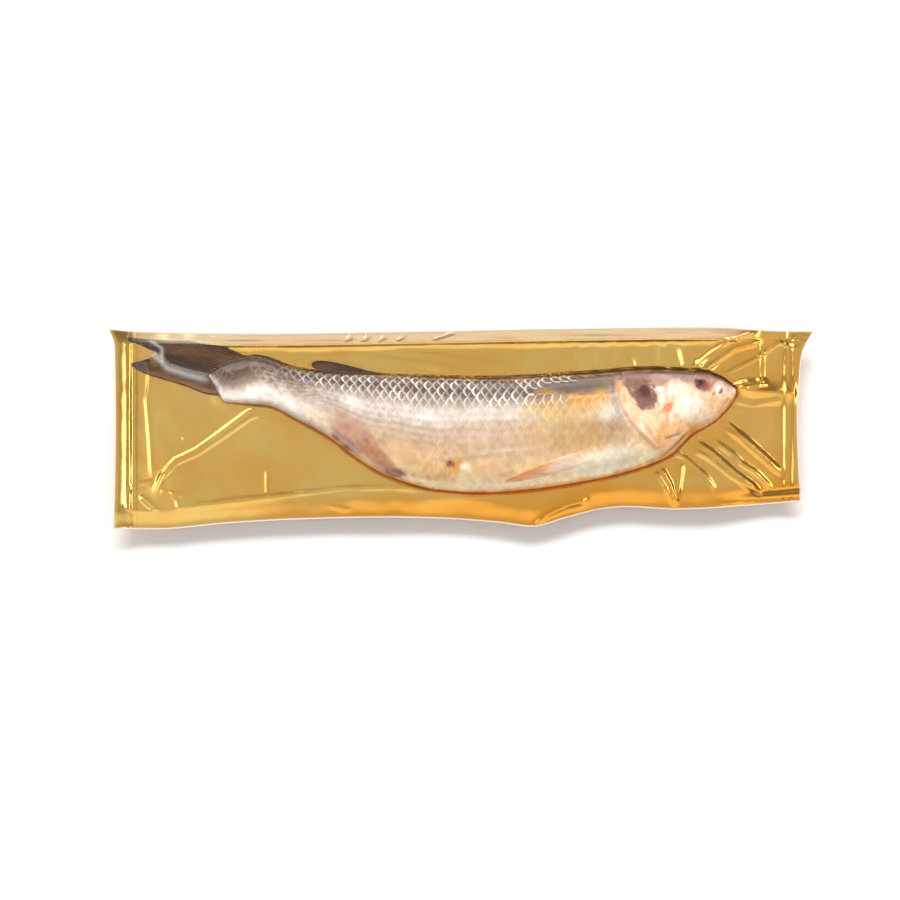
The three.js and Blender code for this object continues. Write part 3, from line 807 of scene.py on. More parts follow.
def pouch_grid():
    """The pouch's grid in plan, closer at its two ends and along its upper margin."""
    s = np.concatenate([
        np.linspace(0, 0.27, 140, endpoint=False),
        np.linspace(0.27, 0.7, 118, endpoint=False),
        np.linspace(0.7, 1, 150),
    ])
    t = np.concatenate([np.linspace(0, 0.88, 94, endpoint=False), np.linspace(0.88, 1, 24)])
    s, t = np.meshgrid(s, t, indexing="ij")
    x, y = mix(-HALF_LENGTH, HALF_LENGTH, s), 0 * s
    for _ in range(8):
        y = mix(BOTTOM_EDGE(x), TOP_EDGE(x), t)
        x = mix(LEFT_EDGE(y), RIGHT_EDGE(y), s)
    return x, y


def relax(z, limit, pull, rounds=160):
    """Lets a sheet settle: each point takes its neighbours' mean and a pull, but passes no limit. The
    film is pulled down on what lies below it. The foil, upside down, is pulled up the same way."""
    for _ in range(rounds):
        mean = 0.25 * (z[:-2, 1:-1] + z[2:, 1:-1] + z[1:-1, :-2] + z[1:-1, 2:])
        z[1:-1, 1:-1] = np.maximum(limit[1:-1, 1:-1], mean - pull)
    return z


def seam_height(x, y, fold_height):
    """Where the two sheets lie together round the fish: wavy, creased and curled at the margins."""
    away = off_the_fish(x, y)
    wave = 0.8 * noise(x, y * 1.4, 46, 2) + 0.35 * noise(x, y, 19, 4) + 0.12 * noise(x, y, 8, 9)
    pleats = 0.2 * np.sin(x * 0.5 + 1.8 * noise(x, y, 30, 6)) * ramp(20, 60, x) * ramp(155, 130, x)
    pleats = pleats * ramp(32, 38, y) * ramp(53, 48, y)
    ribs = 0.35 * np.exp(-(((x + 199.5) / 1.1) ** 2)) + 0.3 * np.exp(-(((x + 196) / 0.9) ** 2))
    ribs = ribs + 0.35 * np.exp(-(((x - 195.5) / 0.9) ** 2)) + 0.3 * np.exp(-(((x - 200.4) / 0.7) ** 2))
    seal = TOP_EDGE(x) - y
    seal_line = np.exp(-(((seal - 7.4) / 0.8) ** 2)) * ramp(-195, -184, x) * ramp(174, 164, x)
    knurl = 0.45 * seal_line * (1 + 0.35 * np.sin(x * 2.1) + 0.25 * noise(x, y, 2.2, 8))
    streaks = 0.16 * noise(x, y * 16, 26, 12) * ramp(7.4, 6, seal) * ramp(-195, -184, x)
    lip = -2.2 * ramp(9, 3.5, y - BOTTOM_EDGE(x)) * ramp(150, 190, x)
    folds = 0.47 * fold_height * sum(fold(x, y, *one) for one in FOLDS)
    return SEAM + curl(x, y) + wave * ramp(0, 9, away) + pleats + folds + ribs + knurl + streaks + lip


def over_body(x, y, margin):
    """Where the body is, with a margin, and the share of its half depth there."""
    middle, half, _ = section(x)
    behind = (SNOUT_X - x) / FISH_LENGTH
    u = np.clip((y - middle) / (half + margin), -1, 1)
    inside = (np.abs(y - middle) <= half + margin) & (behind >= -0.002) & (behind <= BODY_END + 0.002)
    return inside, u


def foil_height(x, y, seam):
    """The foil's upper face: drawn up by the vacuum under the fish, and pressed flat on the table."""
    inside, u = over_body(x, y, 0.5)
    pocket = np.where(inside, under_flank(x, u * 0.99) - 0.45, np.inf)
    limit = np.minimum(seam, pocket)
    return -relax(-limit, -limit, 0.6)


def film_height(x, y, seam, foil, gap, fold_height):
    """The film's lower face: drawn down by the vacuum on the fish, its fins and the foil."""
    inside, u = over_body(x, y, 0.6)
    stands = np.maximum(relief(x, y), 0) * ramp(1.1, 0.8, np.abs(u))
    skin = upper_flank(x, u * 0.99) + stands + gap
    limit = np.maximum(np.maximum(seam, foil) + SEAL_GAP, np.where(inside, skin, 0))
    for fin in FINS:
        if fin["side"] > 0:
            low, high = fin["low"](x), fin["high"](x)
            near = (x > fin["from"] - 1) & (x < fin["to"] + 1) & (y > low - 1) & (y < high + 1)
            limit = np.maximum(limit, np.where(near, fin["lies"](x, y)[1] + 0.35, 0))
    film = relax(limit.copy(), limit, 0.5)
    return film + fold_height * sum(fold(x, y, *one) for one in FILM_FOLDS)


# ---- Fins ----


def in_plane(x, y):
    height = PLANE + curl(x, y)
    return height - 0.75, height + 0.75


def on_upper_flank(x, y):
    middle, half, _ = section(x)
    skin = upper_flank(x, np.clip((y - middle) / half, -1, 1))
    return skin - 1.5, skin + 0.55


def on_under_flank(x, y):
    middle, half, _ = section(x)
    skin = under_flank(x, np.clip((y - middle) / half, -1, 1))
    return np.maximum(FISH_FLOOR, skin - 0.5), skin + 1.5


PECTORAL = {
    "from": 43, "to": 90, "rays": 9,
    "low": curve([(43, 20.5), (58.5, 18.8), (76, 18.8), (90, 22)]),
    "high": curve([(43, 23), (56, 27), (72, 28.6), (90, 29)]),
    "colours": [(0, "#d89a55"), (0.18, "#8f7350"), (0.4, "#6c6157"), (0.8, "#5d524a"), (1, "#33281f")],
    "dabs": [("#c98f4f", 48, 21.5, 9, 3.4, 0, 0.5, 0.2), ("#c7925a", 86, 21, 9, 2.5, 10, 0.6, 0.6)],
}
PELVIC = {
    "from": 26, "to": 80, "rays": 10,
    "low": curve([(26, -33), (42, -30.5), (60, -26), (80, -19)]),
    "high": curve([(26, -31.2), (38, -25.5), (51, -20), (66, -15), (80, -11)]),
    "colours": [(0, "#e9b58c"), (0.3, "#efc6a6"), (0.6, "#e8b990"), (0.85, "#e39f62"), (1, "#edc79c")],
    "dabs": [
        ("#f0aa6c", 40, -27, 16, 3.4, 24, 0.7, 0.0),
        ("#fbe6d2", 64, -19, 17, 6, 22, 0.7, 0.1),
        ("#fff3e8", 76, -17, 5, 3, 0, 0.7, 0.8),
    ],
}
FINS = [
    {
        "name": "tail_upper_lobe", "from": -200, "to": -122, "rays": 13, "side": 1, "lies": in_plane,
        "low": curve([(-200, 53), (-192, 49.5), (-182, 44.5), (-168, 37.5), (-152, 31), (-122, 26)]),
        "high": curve([(-200, 54.5), (-181, 52.9), (-166, 52), (-152, 50), (-140, 47), (-122, 41)]),
        "colours": [
            (0, "#170e06"), (0.25, "#2c1b0c"), (0.55, "#462a15"), (0.85, "#523219"), (1, "#2a1808"),
        ],
        "dabs": [
            ("#221610", -194, 50.5, 7, 1.8, -35, 0.9, 0.4),
            ("#64432b", -168, 46.5, 13, 3, -4, 0.5, 0.8),
            ("#5d4535", -140, 38, 9, 5, -20, 0.5, 0.6),
            ("#33251a", -160, 35, 14, 3, -24, 0.8, 0.5),
        ],
    },
    {
        "name": "tail_lower_lobe", "from": -197, "to": -130, "rays": 11, "side": 1, "lies": in_plane,
        "low": curve([(-197, 37), (-192, 33.5), (-180, 29.4), (-166, 25.2), (-152, 20.2), (-130, 18)]),
        "high": curve([(-197, 39.5), (-188, 42), (-182, 44.8), (-168, 39.5), (-152, 33), (-130, 28)]),
        "colours": [(0, "#24140a"), (0.1, "#7a5232"), (0.3, "#55341b"), (0.65, "#33200f"), (1, "#170e07")],
        "dabs": [
            ("#4d4642", -193, 37.5, 5, 3.4, 0, 0.9, 0.4),
            ("#a05a24", -184, 42, 5, 3, 60, 0.6, 0.6),
            ("#94694a", -158, 24.5, 16, 1.8, -20, 0.5, 0.5),
        ],
    },
    {
        "name": "second_dorsal_fin", "from": -90, "to": -34, "rays": 9, "side": 1, "lies": in_plane,
        "low": curve([(-90, 37.5), (-86, 34.4), (-70, 29), (-34, 26)]),
        "high": curve([(-90, 39.5), (-86, 40.8), (-80, 40.3), (-56, 34.7), (-34, 29.5)]),
        "colours": [(0, "#4a3528"), (0.5, "#3b281c"), (1, "#2a1a10")],
        "dabs": [("#6d4c33", -82, 37, 7, 2, 0, 0.5, 0.7)],
    },
    {
        "name": "first_dorsal_fin", "from": 14, "to": 56, "rays": 4, "side": 1, "lies": in_plane,
        "low": curve([(14, 26), (56, 27)]),
        "high": curve([(14, 30), (30, 31.2), (46, 31.4), (56, 29.4)]),
        "colours": [(0, "#5a463c"), (1, "#3a2820")],
        "dabs": [],
    },
    {**PECTORAL, "name": "pectoral_fin", "side": 1, "lies": on_upper_flank},
    {**PECTORAL, "name": "far_pectoral_fin", "side": -1, "lies": on_under_flank},
    {**PELVIC, "name": "pelvic_fin", "side": 1, "lies": on_upper_flank},
    {**PELVIC, "name": "far_pelvic_fin", "side": -1, "lies": on_under_flank},
]


def make_fin(fin, material):
    """A fin folded flat: stiff rays along it, with thinner skin between them and thin edges."""
    length = fin["to"] - fin["from"]
    rows, columns = int(length * 1.2), 6 * fin["rays"]
    s, t = np.meshgrid(np.linspace(0, 1, rows), np.linspace(0, 1, columns), indexing="ij")
    x = mix(fin["from"], fin["to"], s)
    y = mix(fin["low"](x), fin["high"](x), t)
    spread = t + 0.03 * noise(x, y, 20, fin["rays"])
    ray = 0.5 + 0.5 * np.cos(2 * np.pi * fin["rays"] * spread)
    low, high = fin["lies"](x, y)
    thin = ramp(0, 0.12, t) * ramp(1, 0.88, t) * (0.4 + 0.6 * ramp(0, 0.1, s))
    if fin["lies"] is not in_plane:
        thin = thin * ramp(1.0, 0.7, s)  # its root sinks into the flank
    relief_of_rays = (0.3 * ray - 0.3) * thin - 0.6 * (1 - thin)
    high, low = (high + relief_of_rays, low) if fin["side"] > 0 else (high, low - relief_of_rays * 0.8)
    points, faces = slab(x, y, low, high)
    piece = make_object(fin["name"], points, faces, material)
    colour = spread_colours(fin["colours"], np.clip(t + 0.12 * cloud(x, y, 6, 41), 0, 1))
    streak = 0.12 * noise(x, y * 6, 9, 43) + 0.06 * noise(x, y * 10, 4, 44)
    colour = colour * (1 + streak[..., None])
    for dab in fin["dabs"]:
        colour = mix(colour, srgb(dab[0]), dab_share(x, y, dab)[..., None])
    if fin["lies"] is not in_plane:
        colour = mix(colour, paint_skin(x, y, fin["side"] > 0), ramp(0.62, 0.98, s)[..., None])
    colour = np.clip(colour, 0, 1).reshape(-1, 3)
    store(piece, "skin", to_linear(np.concatenate([colour, colour])))
    store(piece, "ray", np.concatenate([ray.ravel(), ray.ravel()]))
    return piece


# ---- The fish's skin, eye and scales ----


def make_body(material):
    """The skin, as one closed ring mesh from snout to tail root, with its relief and colours."""
    head = np.linspace(0.0005, 0.2, 120)
    trunk = np.linspace(0.2, BODY_END - 0.0005, 220)[1:]
    x = SNOUT_X - np.concatenate([head, trunk]) * FISH_LENGTH
    ring = 152
    grid_x, grid_v = np.meshgrid(x, np.arange(ring) / ring, indexing="ij")
    middle, half, _ = section(grid_x)
    u = -np.cos(2 * np.pi * grid_v)
    upper = grid_v <= 0.5
    y = middle + half * u
    z = np.where(upper, upper_flank(grid_x, u), under_flank(grid_x, u))
    points = np.stack([grid_x, y, z], axis=-1)
    along = np.gradient(points, axis=0)
    across = np.roll(points, -1, axis=1) - np.roll(points, 1, axis=1)
    outward = np.cross(across, along)
    outward /= np.maximum(np.linalg.norm(outward, axis=-1, keepdims=True), 1e-9)
    pressed = np.where(upper, 1, ramp(1, 8, z - FISH_FLOOR))
    height = relief(grid_x, y) * pressed * ramp(1.0, 0.85, np.abs(u))
    points = points + outward * height[..., None]
    points[..., 2] = np.maximum(points[..., 2], FISH_FLOOR)
    rows = len(x)
    ids = np.arange(rows * ring).reshape(rows, ring)
    near, far = ids[:-1], ids[1:]
    quads = np.stack([near, np.roll(near, -1, axis=1), np.roll(far, -1, axis=1), far], axis=-1)
    quads = quads.reshape(-1, 4)
    caps = [ids[0][::-1].tolist(), ids[-1].tolist()]
    piece = make_object("mullet_skin", points.reshape(-1, 3), quads, material, caps)
    flat_x, flat_y = grid_x.ravel(), y.ravel()
    store(piece, "skin", to_linear(paint_skin(flat_x, flat_y, upper.ravel())))
    store(piece, "contrast", scale_contrast(flat_x, flat_y))
    store(piece, "outward", outward.reshape(-1, 3))
    lay_rows(piece, points, grid_x, quads, caps)
    return piece


def lay_rows(piece, points, grid_x, quads, caps):
    """A UV map in metres along the fish and round it from the back, which the scale rows follow."""
    rows, ring = grid_x.shape
    closed = np.concatenate([points, points[:, :1]], axis=1)
    steps = np.linalg.norm(np.diff(closed, axis=1), axis=-1)
    round_it = np.concatenate([np.zeros((rows, 1)), np.cumsum(steps, axis=1)], axis=1)
    back = round_it[:, ring // 2 : ring // 2 + 1]
    closer = 1 - 0.25 * ramp(20, -120, grid_x[:, :1])  # the scales are smaller towards the tail
    from_back = (back - round_it) / closer * MM
    behind = np.broadcast_to((SNOUT_X - grid_x[:, :1]) * MM, from_back.shape)
    i, j = np.meshgrid(np.arange(rows - 1), np.arange(ring), indexing="ij")
    corners = [(i, j), (i, j + 1), (i + 1, j + 1), (i + 1, j)]
    uv = np.stack([np.stack([behind[a, b], from_back[a, b]], axis=-1) for a, b in corners], axis=2)
    spare = np.full((sum(len(cap) for cap in caps), 2), -1.0)
    layer = piece.data.uv_layers.new(name="scale_rows")
    layer.data.foreach_set("uv", np.concatenate([uv.reshape(-1, 2), spare]).ravel())
    # Scales grow behind the gill cover, clear of the belly's keel and the tail root's rim.
    keel = np.minimum(round_it[:, :-1], round_it[:, -1:] - round_it[:, :-1])
    y = points[..., 1]
    seen_x, seen_y = seen_from_above(grid_x, y)
    scaly = ramp(-1.0, -3.5, seen_x - GILL_EDGE(seen_y)) * ramp(2.5, 5.5, keel) * ramp(-147, -143, grid_x)
    for fin in (PECTORAL, PELVIC):
        under = (y > fin["low"](grid_x) - 1) & (y < fin["high"](grid_x) + 1)
        scaly = scaly * (1 - under * (grid_x > fin["from"] - 1) * (grid_x < fin["to"] + 1))
    store(piece, "scaly", scaly.ravel())


def make_eye(material):
    """The eye under its clear fatty lid: a low dome with a dark pupil and a dull red iris."""
    radius, rings, spokes = 5.6, 14, 40
    away, angle = np.meshgrid(
        np.linspace(0.04, 1, rings), 2 * np.pi * np.arange(spokes) / spokes, indexing="ij"
    )
    x = EYE[0] / LENS_SPREAD + radius * 1.12 * away * np.cos(angle)
    y = (EYE[1] - LENS_SHIFT) / LENS_SPREAD + radius * away * np.sin(angle)
    middle, half, _ = section(x)
    skin = upper_flank(x, np.clip((y - middle) / half, -1, 1)) + relief(x, y)
    top = skin + 0.45 * (1 - away**2) - 0.25 * ramp(0.8, 1, away) + 0.05
    low = skin - 1.2
    count = away.size
    points = np.concatenate([
        np.stack([x, y, top], axis=-1).reshape(-1, 3), np.stack([x, y, low], axis=-1).reshape(-1, 3)
    ])
    ids = np.arange(count).reshape(rings, spokes)
    near, far = ids[:-1], ids[1:]
    quads = np.stack([near, far, np.roll(far, -1, axis=1), np.roll(near, -1, axis=1)], axis=-1)
    quads = quads.reshape(-1, 4)
    rim = ids[-1]
    wall = np.stack([rim, rim + count, np.roll(rim, -1) + count, np.roll(rim, -1)], axis=1)
    faces = np.concatenate([quads, quads[:, ::-1] + count, wall])
    caps = [ids[0].tolist(), (ids[0][::-1] + count).tolist()]
    piece = make_object("mullet_eye", points, faces, material, caps)
    x, y = seen_from_above(x, y)
    pupil_away = np.hypot(x - PUPIL[0], (y - PUPIL[1]) * 0.85) + 0.5 * cloud(x, y, 2.4, 51)
    iris = spread_colours(
        [(0, "#2c2526"), (1.2, "#3d2f30"), (2.4, "#6d403a"), (4.2, "#9a5c4c"), (7.5, "#bd866a")],
        pupil_away,
    )
    iris = mix(iris, srgb("#dcb9a4"), ramp(0.8, 1, away)[..., None]).reshape(-1, 3)
    store(piece, "skin", to_linear(np.concatenate([iris, iris])))
    return piece


def scale_tree(material):
    """Nodes that lay staggered rows of overlapping scales on the skin, along its row map."""
    tree = bpy.data.node_groups.new("scales_on_skin", "GeometryNodeTree")
    face = tree.interface
    face.new_socket("Geometry", in_out="OUTPUT", socket_type="NodeSocketGeometry")
    sockets = {}
    for name, kind, default in (
        ("Skin", "NodeSocketObject", None),
        ("Spacing Along", "NodeSocketFloat", 0.0052),
        ("Spacing Across", "NodeSocketFloat", 0.0043),
        ("Lift", "NodeSocketFloat", 0.0003),
        ("Columns", "NodeSocketInt", 50),
        ("Rows", "NodeSocketInt", 26),
        ("Start", "NodeSocketFloat", 0.06),
        ("Seed", "NodeSocketInt", 7),
    ):
        socket = face.new_socket(name, in_out="INPUT", socket_type=kind)
        if default is not None:
            socket.default_value = default
        sockets[name] = socket.identifier
    given = add(tree, "NodeGroupInput").outputs

    def maths(operation, a, b=0.0, c=0.0):
        return calculate(tree, operation, a, b, c)

    def named(name, kind):
        node = add(tree, "GeometryNodeInputNamedAttribute", {"Name": name}, data_type=kind)
        return next(s for s in node.outputs if s.enabled)

    skin = add(tree, "GeometryNodeObjectInfo", {"Object": given["Skin"]}).outputs["Geometry"]
    rows_map = named("scale_rows", "FLOAT_VECTOR")

    def on_skin(value, at, kind):
        inputs = {"Mesh": skin, "UV Map": rows_map, "Sample UV": at, "Value": value}
        return add(tree, "GeometryNodeSampleUVSurface", inputs, data_type=kind).outputs["Value"]

    # A lattice of places, every other row half a scale further on.
    index = add(tree, "GeometryNodeInputIndex").outputs[0]
    row = maths("FLOOR", maths("DIVIDE", index, given["Columns"]))
    column = maths("SUBTRACT", index, maths("MULTIPLY", row, given["Columns"]))
    shift = maths("MULTIPLY", maths("PINGPONG", row, 1.0), 0.5)
    along = maths("MULTIPLY_ADD", maths("ADD", column, shift), given["Spacing Along"], given["Start"])
    from_middle = maths("SUBTRACT", row, maths("MULTIPLY", given["Rows"], 0.5))
    across = maths("MULTIPLY", from_middle, given["Spacing Across"])
    place = add(tree, "ShaderNodeCombineXYZ", {0: along, 1: across}).outputs[0]
    count = maths("MULTIPLY", given["Columns"], given["Rows"])
    points = add(tree, "GeometryNodePoints", {"Count": count, "Position": place}).outputs[0]
    position = add(tree, "GeometryNodeInputPosition").outputs[0]
    grows = on_skin(named("scaly", "FLOAT"), position, "FLOAT")
    bare = add(tree, "FunctionNodeCompare", {"A": grows, "B": 0.5}, operation="LESS_THAN").outputs[0]
    kept = add(tree, "GeometryNodeDeleteGeometry", {0: points, "Selection": bare}).outputs[0]
    kept = add(
        tree, "GeometryNodeStoreNamedAttribute",
        {0: kept, "Name": "centre", "Value": position}, data_type="FLOAT_VECTOR",
    ).outputs[0]
    chance = add(
        tree, "FunctionNodeRandomValue", {"Seed": given["Seed"]}, data_type="FLOAT"
    )
    random_tone = next(s for s in chance.outputs if s.enabled)
    kept = add(
        tree, "GeometryNodeStoreNamedAttribute",
        {0: kept, "Name": "tone", "Value": random_tone}, data_type="FLOAT",
    ).outputs[0]

    # One scale: a small grid, from its hidden front (0) to its free rear edge (1).
    sheet = add(
        tree, "GeometryNodeMeshGrid",
        {"Size X": 1.0, "Size Y": 2.0, "Vertices X": 6, "Vertices Y": 7},
    ).outputs[0]
    flat = add(tree, "ShaderNodeVectorMath", {0: position, 1: (0.5, 0, 0)}, operation="ADD").outputs[0]
    one = add(
        tree, "GeometryNodeStoreNamedAttribute",
        {0: sheet, "Name": "tile", "Value": flat}, data_type="FLOAT_VECTOR",
    ).outputs[0]
    many = add(tree, "GeometryNodeInstanceOnPoints", {"Points": kept, "Instance": one}).outputs[0]
    many = add(tree, "GeometryNodeRealizeInstances", {0: many}).outputs[0]

    # Each point goes to its place on the skin, raised towards the free edge.
    tile = add(tree, "ShaderNodeSeparateXYZ", {0: named("tile", "FLOAT_VECTOR")}).outputs
    centre = add(tree, "ShaderNodeSeparateXYZ", {0: named("centre", "FLOAT_VECTOR")}).outputs
    side = maths("MULTIPLY", tile[1], tile[1])
    reach = maths("MULTIPLY_ADD", side, -0.56, 1.12)
    back_off = maths("MULTIPLY_ADD", tile[0], reach, -0.5)
    new_along = maths("MULTIPLY_ADD", back_off, given["Spacing Along"], centre[0])
    half_width = maths("MULTIPLY", given["Spacing Across"], 1.06)
    new_across = maths("MULTIPLY_ADD", tile[1], half_width, centre[1])
    spot = add(tree, "ShaderNodeCombineXYZ", {0: new_along, 1: new_across}).outputs[0]
    contrast = on_skin(named("contrast", "FLOAT"), spot, "FLOAT")
    strength = maths("MULTIPLY_ADD", contrast, 0.85, 0.14)
    ramp_up = maths("MULTIPLY_ADD", tile[0], 0.85, 0.08)
    lift = maths("MULTIPLY", maths("MULTIPLY", ramp_up, strength), given["Lift"])
    surface = on_skin(position, spot, "FLOAT_VECTOR")
    outward = on_skin(named("outward", "FLOAT_VECTOR"), spot, "FLOAT_VECTOR")
    colour = on_skin(named("skin", "FLOAT_VECTOR"), spot, "FLOAT_VECTOR")
    raised = add(
        tree, "ShaderNodeVectorMath", {0: outward, "Scale": lift}, operation="SCALE"
    ).outputs[0]
    where = add(tree, "ShaderNodeVectorMath", {0: surface, 1: raised}, operation="ADD").outputs[0]
    for name, value, kind in (
        ("contrast", contrast, "FLOAT"), ("skin", colour, "FLOAT_VECTOR"), ("where", where, "FLOAT_VECTOR")
    ):
        many = add(
            tree, "GeometryNodeStoreNamedAttribute",
            {0: many, "Name": name, "Value": value}, data_type=kind,
        ).outputs[0]
    many = add(
        tree, "GeometryNodeSetPosition", {0: many, "Position": named("where", "FLOAT_VECTOR")}
    ).outputs[0]
    many = add(tree, "GeometryNodeSetShadeSmooth", {0: many}).outputs[0]
    many = add(tree, "GeometryNodeSetMaterial", {0: many, "Material": material}).outputs[0]
    tree.links.new(many, add(tree, "NodeGroupOutput").inputs[0])
    return tree, sockets


def make_scales(skin, sizes, material):
    """The scales as one plain mesh laid over the skin."""
    tree, sockets = scale_tree(material)
    carrier = bpy.data.objects.new("scale_carrier", bpy.data.meshes.new("scale_carrier"))
    bpy.context.scene.collection.objects.link(carrier)
    modifier = carrier.modifiers.new("scales", "NODES")
    modifier.node_group = tree
    modifier[sockets["Skin"]] = skin
    for name, value in sizes.items():
        modifier[sockets[name]] = value
    graph = bpy.context.evaluated_depsgraph_get()
    mesh = bpy.data.meshes.new_from_object(carrier.evaluated_get(graph), depsgraph=graph)
    mesh.name = "mullet_scales"
    carrier.modifiers.remove(modifier)
    bpy.data.objects.remove(carrier)
    for name in ("where", "centre"):
        mesh.attributes.remove(mesh.attributes[name])
    piece = bpy.data.objects.new("mullet_scales", mesh)
    bpy.context.scene.collection.objects.link(piece)
    return piece


# ---- What a user can change ----


class FishSettings(bpy.types.PropertyGroup):
    """Sizes of the scales that cover the fish."""

    scale_length: bpy.props.FloatProperty(
        name="Scale Spacing Along", description="From one scale to the next along the fish",
        default=0.0052, min=0.002, unit="LENGTH",
    )
    scale_width: bpy.props.FloatProperty(
        name="Row Spacing", description="From one row of scales to the next round the fish",
        default=0.0043, min=0.002, unit="LENGTH",
    )
    scale_lift: bpy.props.FloatProperty(
        name="Scale Lift", description="How far a scale's free edge stands off the skin",
        default=0.00034, min=0.0, unit="LENGTH",
    )
    tone_seed: bpy.props.IntProperty(
        name="Tone Seed", description="Which scales are a little lighter or darker", default=7,
    )


class PouchSettings(bpy.types.PropertyGroup):
    """Finish of the gold foil and the clear film."""

    gold: bpy.props.FloatVectorProperty(
        name="Gold", description="Colour of the metallised film", subtype="COLOR", size=4,
        default=linear("#fad172"), min=0, max=1,
    )
    foil_roughness: bpy.props.FloatProperty(
        name="Foil Roughness", description="Blur of the foil's mirror", default=0.2, min=0, max=1,
        subtype="FACTOR",
    )
    film_ior: bpy.props.FloatProperty(
        name="Film IOR", description="Refractive index of the clear film", default=1.5, min=1, max=2,
    )
    film_roughness: bpy.props.FloatProperty(
        name="Film Roughness", description="Blur of the film's glints", default=0.14, min=0, max=1,
        subtype="FACTOR",
    )
    film_gap: bpy.props.FloatProperty(
        name="Film Gap", description="From the fish's skin up to the film", default=0.0005,
        min=0.0002, unit="LENGTH",
    )
    fold_height: bpy.props.FloatProperty(
        name="Fold Height", description="Height of all folds, where 1 is as packed", default=1.0,
        min=0, max=1.5, subtype="FACTOR",
    )


class StageSettings(bpy.types.PropertyGroup):
    """The table, the lights and the camera."""

    floor: bpy.props.FloatVectorProperty(
        name="Table", description="Colour of the table", subtype="COLOR", size=4,
        default=linear("#f6f5f3"), min=0, max=1,
    )
    key_power: bpy.props.FloatProperty(
        name="Key Light", description="Power of the lamp behind the fish's back", default=26.0,
        min=0, unit="POWER",
    )
    camera_height: bpy.props.FloatProperty(
        name="Camera Height", description="From the table up to the camera", default=1.294,
        min=0.3, unit="LENGTH",
    )
    lens: bpy.props.FloatProperty(
        name="Lens", description="Focal length of the camera in millimetres", default=85.0, min=20,
    )


# ---- Operators ----


def on_fish(piece):
    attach(piece, "root")


class MULLET_OT_skin(bpy.types.Operator):
    """Make the fish's skin and its eye"""

    bl_idname = "mullet.skin"
    bl_label = "Skin and Eye"

    def execute(self, context):
        skin = make_body(fish_skin())
        on_fish(skin)
        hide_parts("salted_mullet")
        on_fish(make_eye(eye_lens()))
        return {"FINISHED"}


class MULLET_OT_scales(bpy.types.Operator):
    """Lay the scales on the skin"""

    bl_idname = "mullet.scales"
    bl_label = "Scales"

    def execute(self, context):
        skin = bpy.data.objects.get("mullet_skin")
        if skin is None:
            raise RuntimeError("make the skin first: the scales lie on it")
        own = context.scene.mullet_fish
        sizes = {
            "Spacing Along": own.scale_length,
            "Spacing Across": own.scale_width,
            "Lift": own.scale_lift,
            "Columns": 48,
            "Rows": 36,
            "Start": 0.062,
            "Seed": own.tone_seed,
        }
        on_fish(make_scales(skin, sizes, fish_scales()))
        return {"FINISHED"}


class MULLET_OT_fins(bpy.types.Operator):
    """Make the tail, dorsal, pectoral and pelvic fins"""

    bl_idname = "mullet.fins"
    bl_label = "Fins"

    def execute(self, context):
        material = fin_membrane()
        for fin in FINS:
            on_fish(make_fin(fin, material))
        return {"FINISHED"}


def paint_orange_reflection_and_mottle(x, y):
    """Painted reflection colour: where the foil is painted more orange, along its lower margin, beside the
    fish's belly and by the head, with a faint random mottle.
    """
    low = 0.9 * ramp(17, 4, y - BOTTOM_EDGE(x)) * ramp(-150, -60, x)
    belly = 0.35 * ramp(22, 4, off_the_fish(x, y)) * ramp(-70, 30, x) * ramp(10, -10, y)
    head = 0.35 * ramp(120, 150, x)
    return low + belly + head + 0.1 * noise(x, y, 30, 71)


def make_sheets(own):
    """The foil and the film over one grid, so that their margins lie together."""
    x, y = pouch_grid()
    seam = seam_height(x, y, own.fold_height)
    foil_top = foil_height(x, y, seam)
    points, faces = slab(x, y, foil_top - SHEET, foil_top)
    foil = make_object("gold_foil", points, faces, gold_foil(own.gold, own.foil_roughness))
    under = film_height(x, y, seam, foil_top, own.film_gap / MM, own.fold_height)
    points, faces = slab(x, y, under, under + SHEET)
    film = make_object("clear_film", points, faces, clear_film(own.film_ior, own.film_roughness))
    for sheet in (foil, film):
        sheet.data.set_sharp_from_angle(angle=math.radians(65))
    crumpled = sum(fold(x, y, 1, 1.2 * a, 1.2 * b, "ridge", p) for _, a, b, _, p in FILM_FOLDS[:2])
    rim = np.minimum(
        np.minimum(TOP_EDGE(x) - y, y - BOTTOM_EDGE(x)), np.minimum(x - LEFT_EDGE(y), RIGHT_EDGE(y) - x)
    )
    seal = 0.16 * ramp(7.4, 6.2, TOP_EDGE(x) - y) * ramp(-205, -170, x) * ramp(180, 150, x)
    # Haze where the film is crumpled or sealed, and a painted highlight in a thin line along its edge.
    haze_and_edge_glint = np.clip(0.2 * crumpled + 0.7 * ramp(0.8, 0.1, rim) + seal, 0, 0.75).ravel()
    store(film, "haze_and_edge_glint", np.concatenate([haze_and_edge_glint, haze_and_edge_glint]))
    # Painted reflection colour for the foil: orange along its lower margin, beside the belly and by the
    # head, with a faint mottle.
    orange_reflection_and_mottle = np.clip(paint_orange_reflection_and_mottle(x, y), 0, 1).ravel()
    store(foil, "orange_reflection_and_mottle", np.concatenate([orange_reflection_and_mottle, orange_reflection_and_mottle]))
    return foil, film


class MULLET_OT_pouch(bpy.types.Operator):
    """Make the pouch's gold foil and clear film"""

    bl_idname = "mullet.pouch"
    bl_label = "Foil and Film"

    def execute(self, context):
        foil, film = make_sheets(context.scene.mullet_pouch)
        for piece, node, slot in (
            (foil, "gold_foil_back", "gold_foil"),
            (film, "clear_film_front", "clear_film"),
        ):
            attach(piece, "root")
            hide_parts(node)
        return {"FINISHED"}


def add_lamp(name, place, aim, width, height, power):
    light = bpy.data.lights.new(name, "AREA")
    light.shape, light.size, light.size_y, light.energy = "RECTANGLE", width, height, power
    lamp = bpy.data.objects.new(name, light)
    lamp.location = place
    lamp.rotation_euler = (Vector(aim) - Vector(place)).to_track_quat("-Z", "Y").to_euler()
    bpy.context.scene.collection.objects.link(lamp)
    return lamp


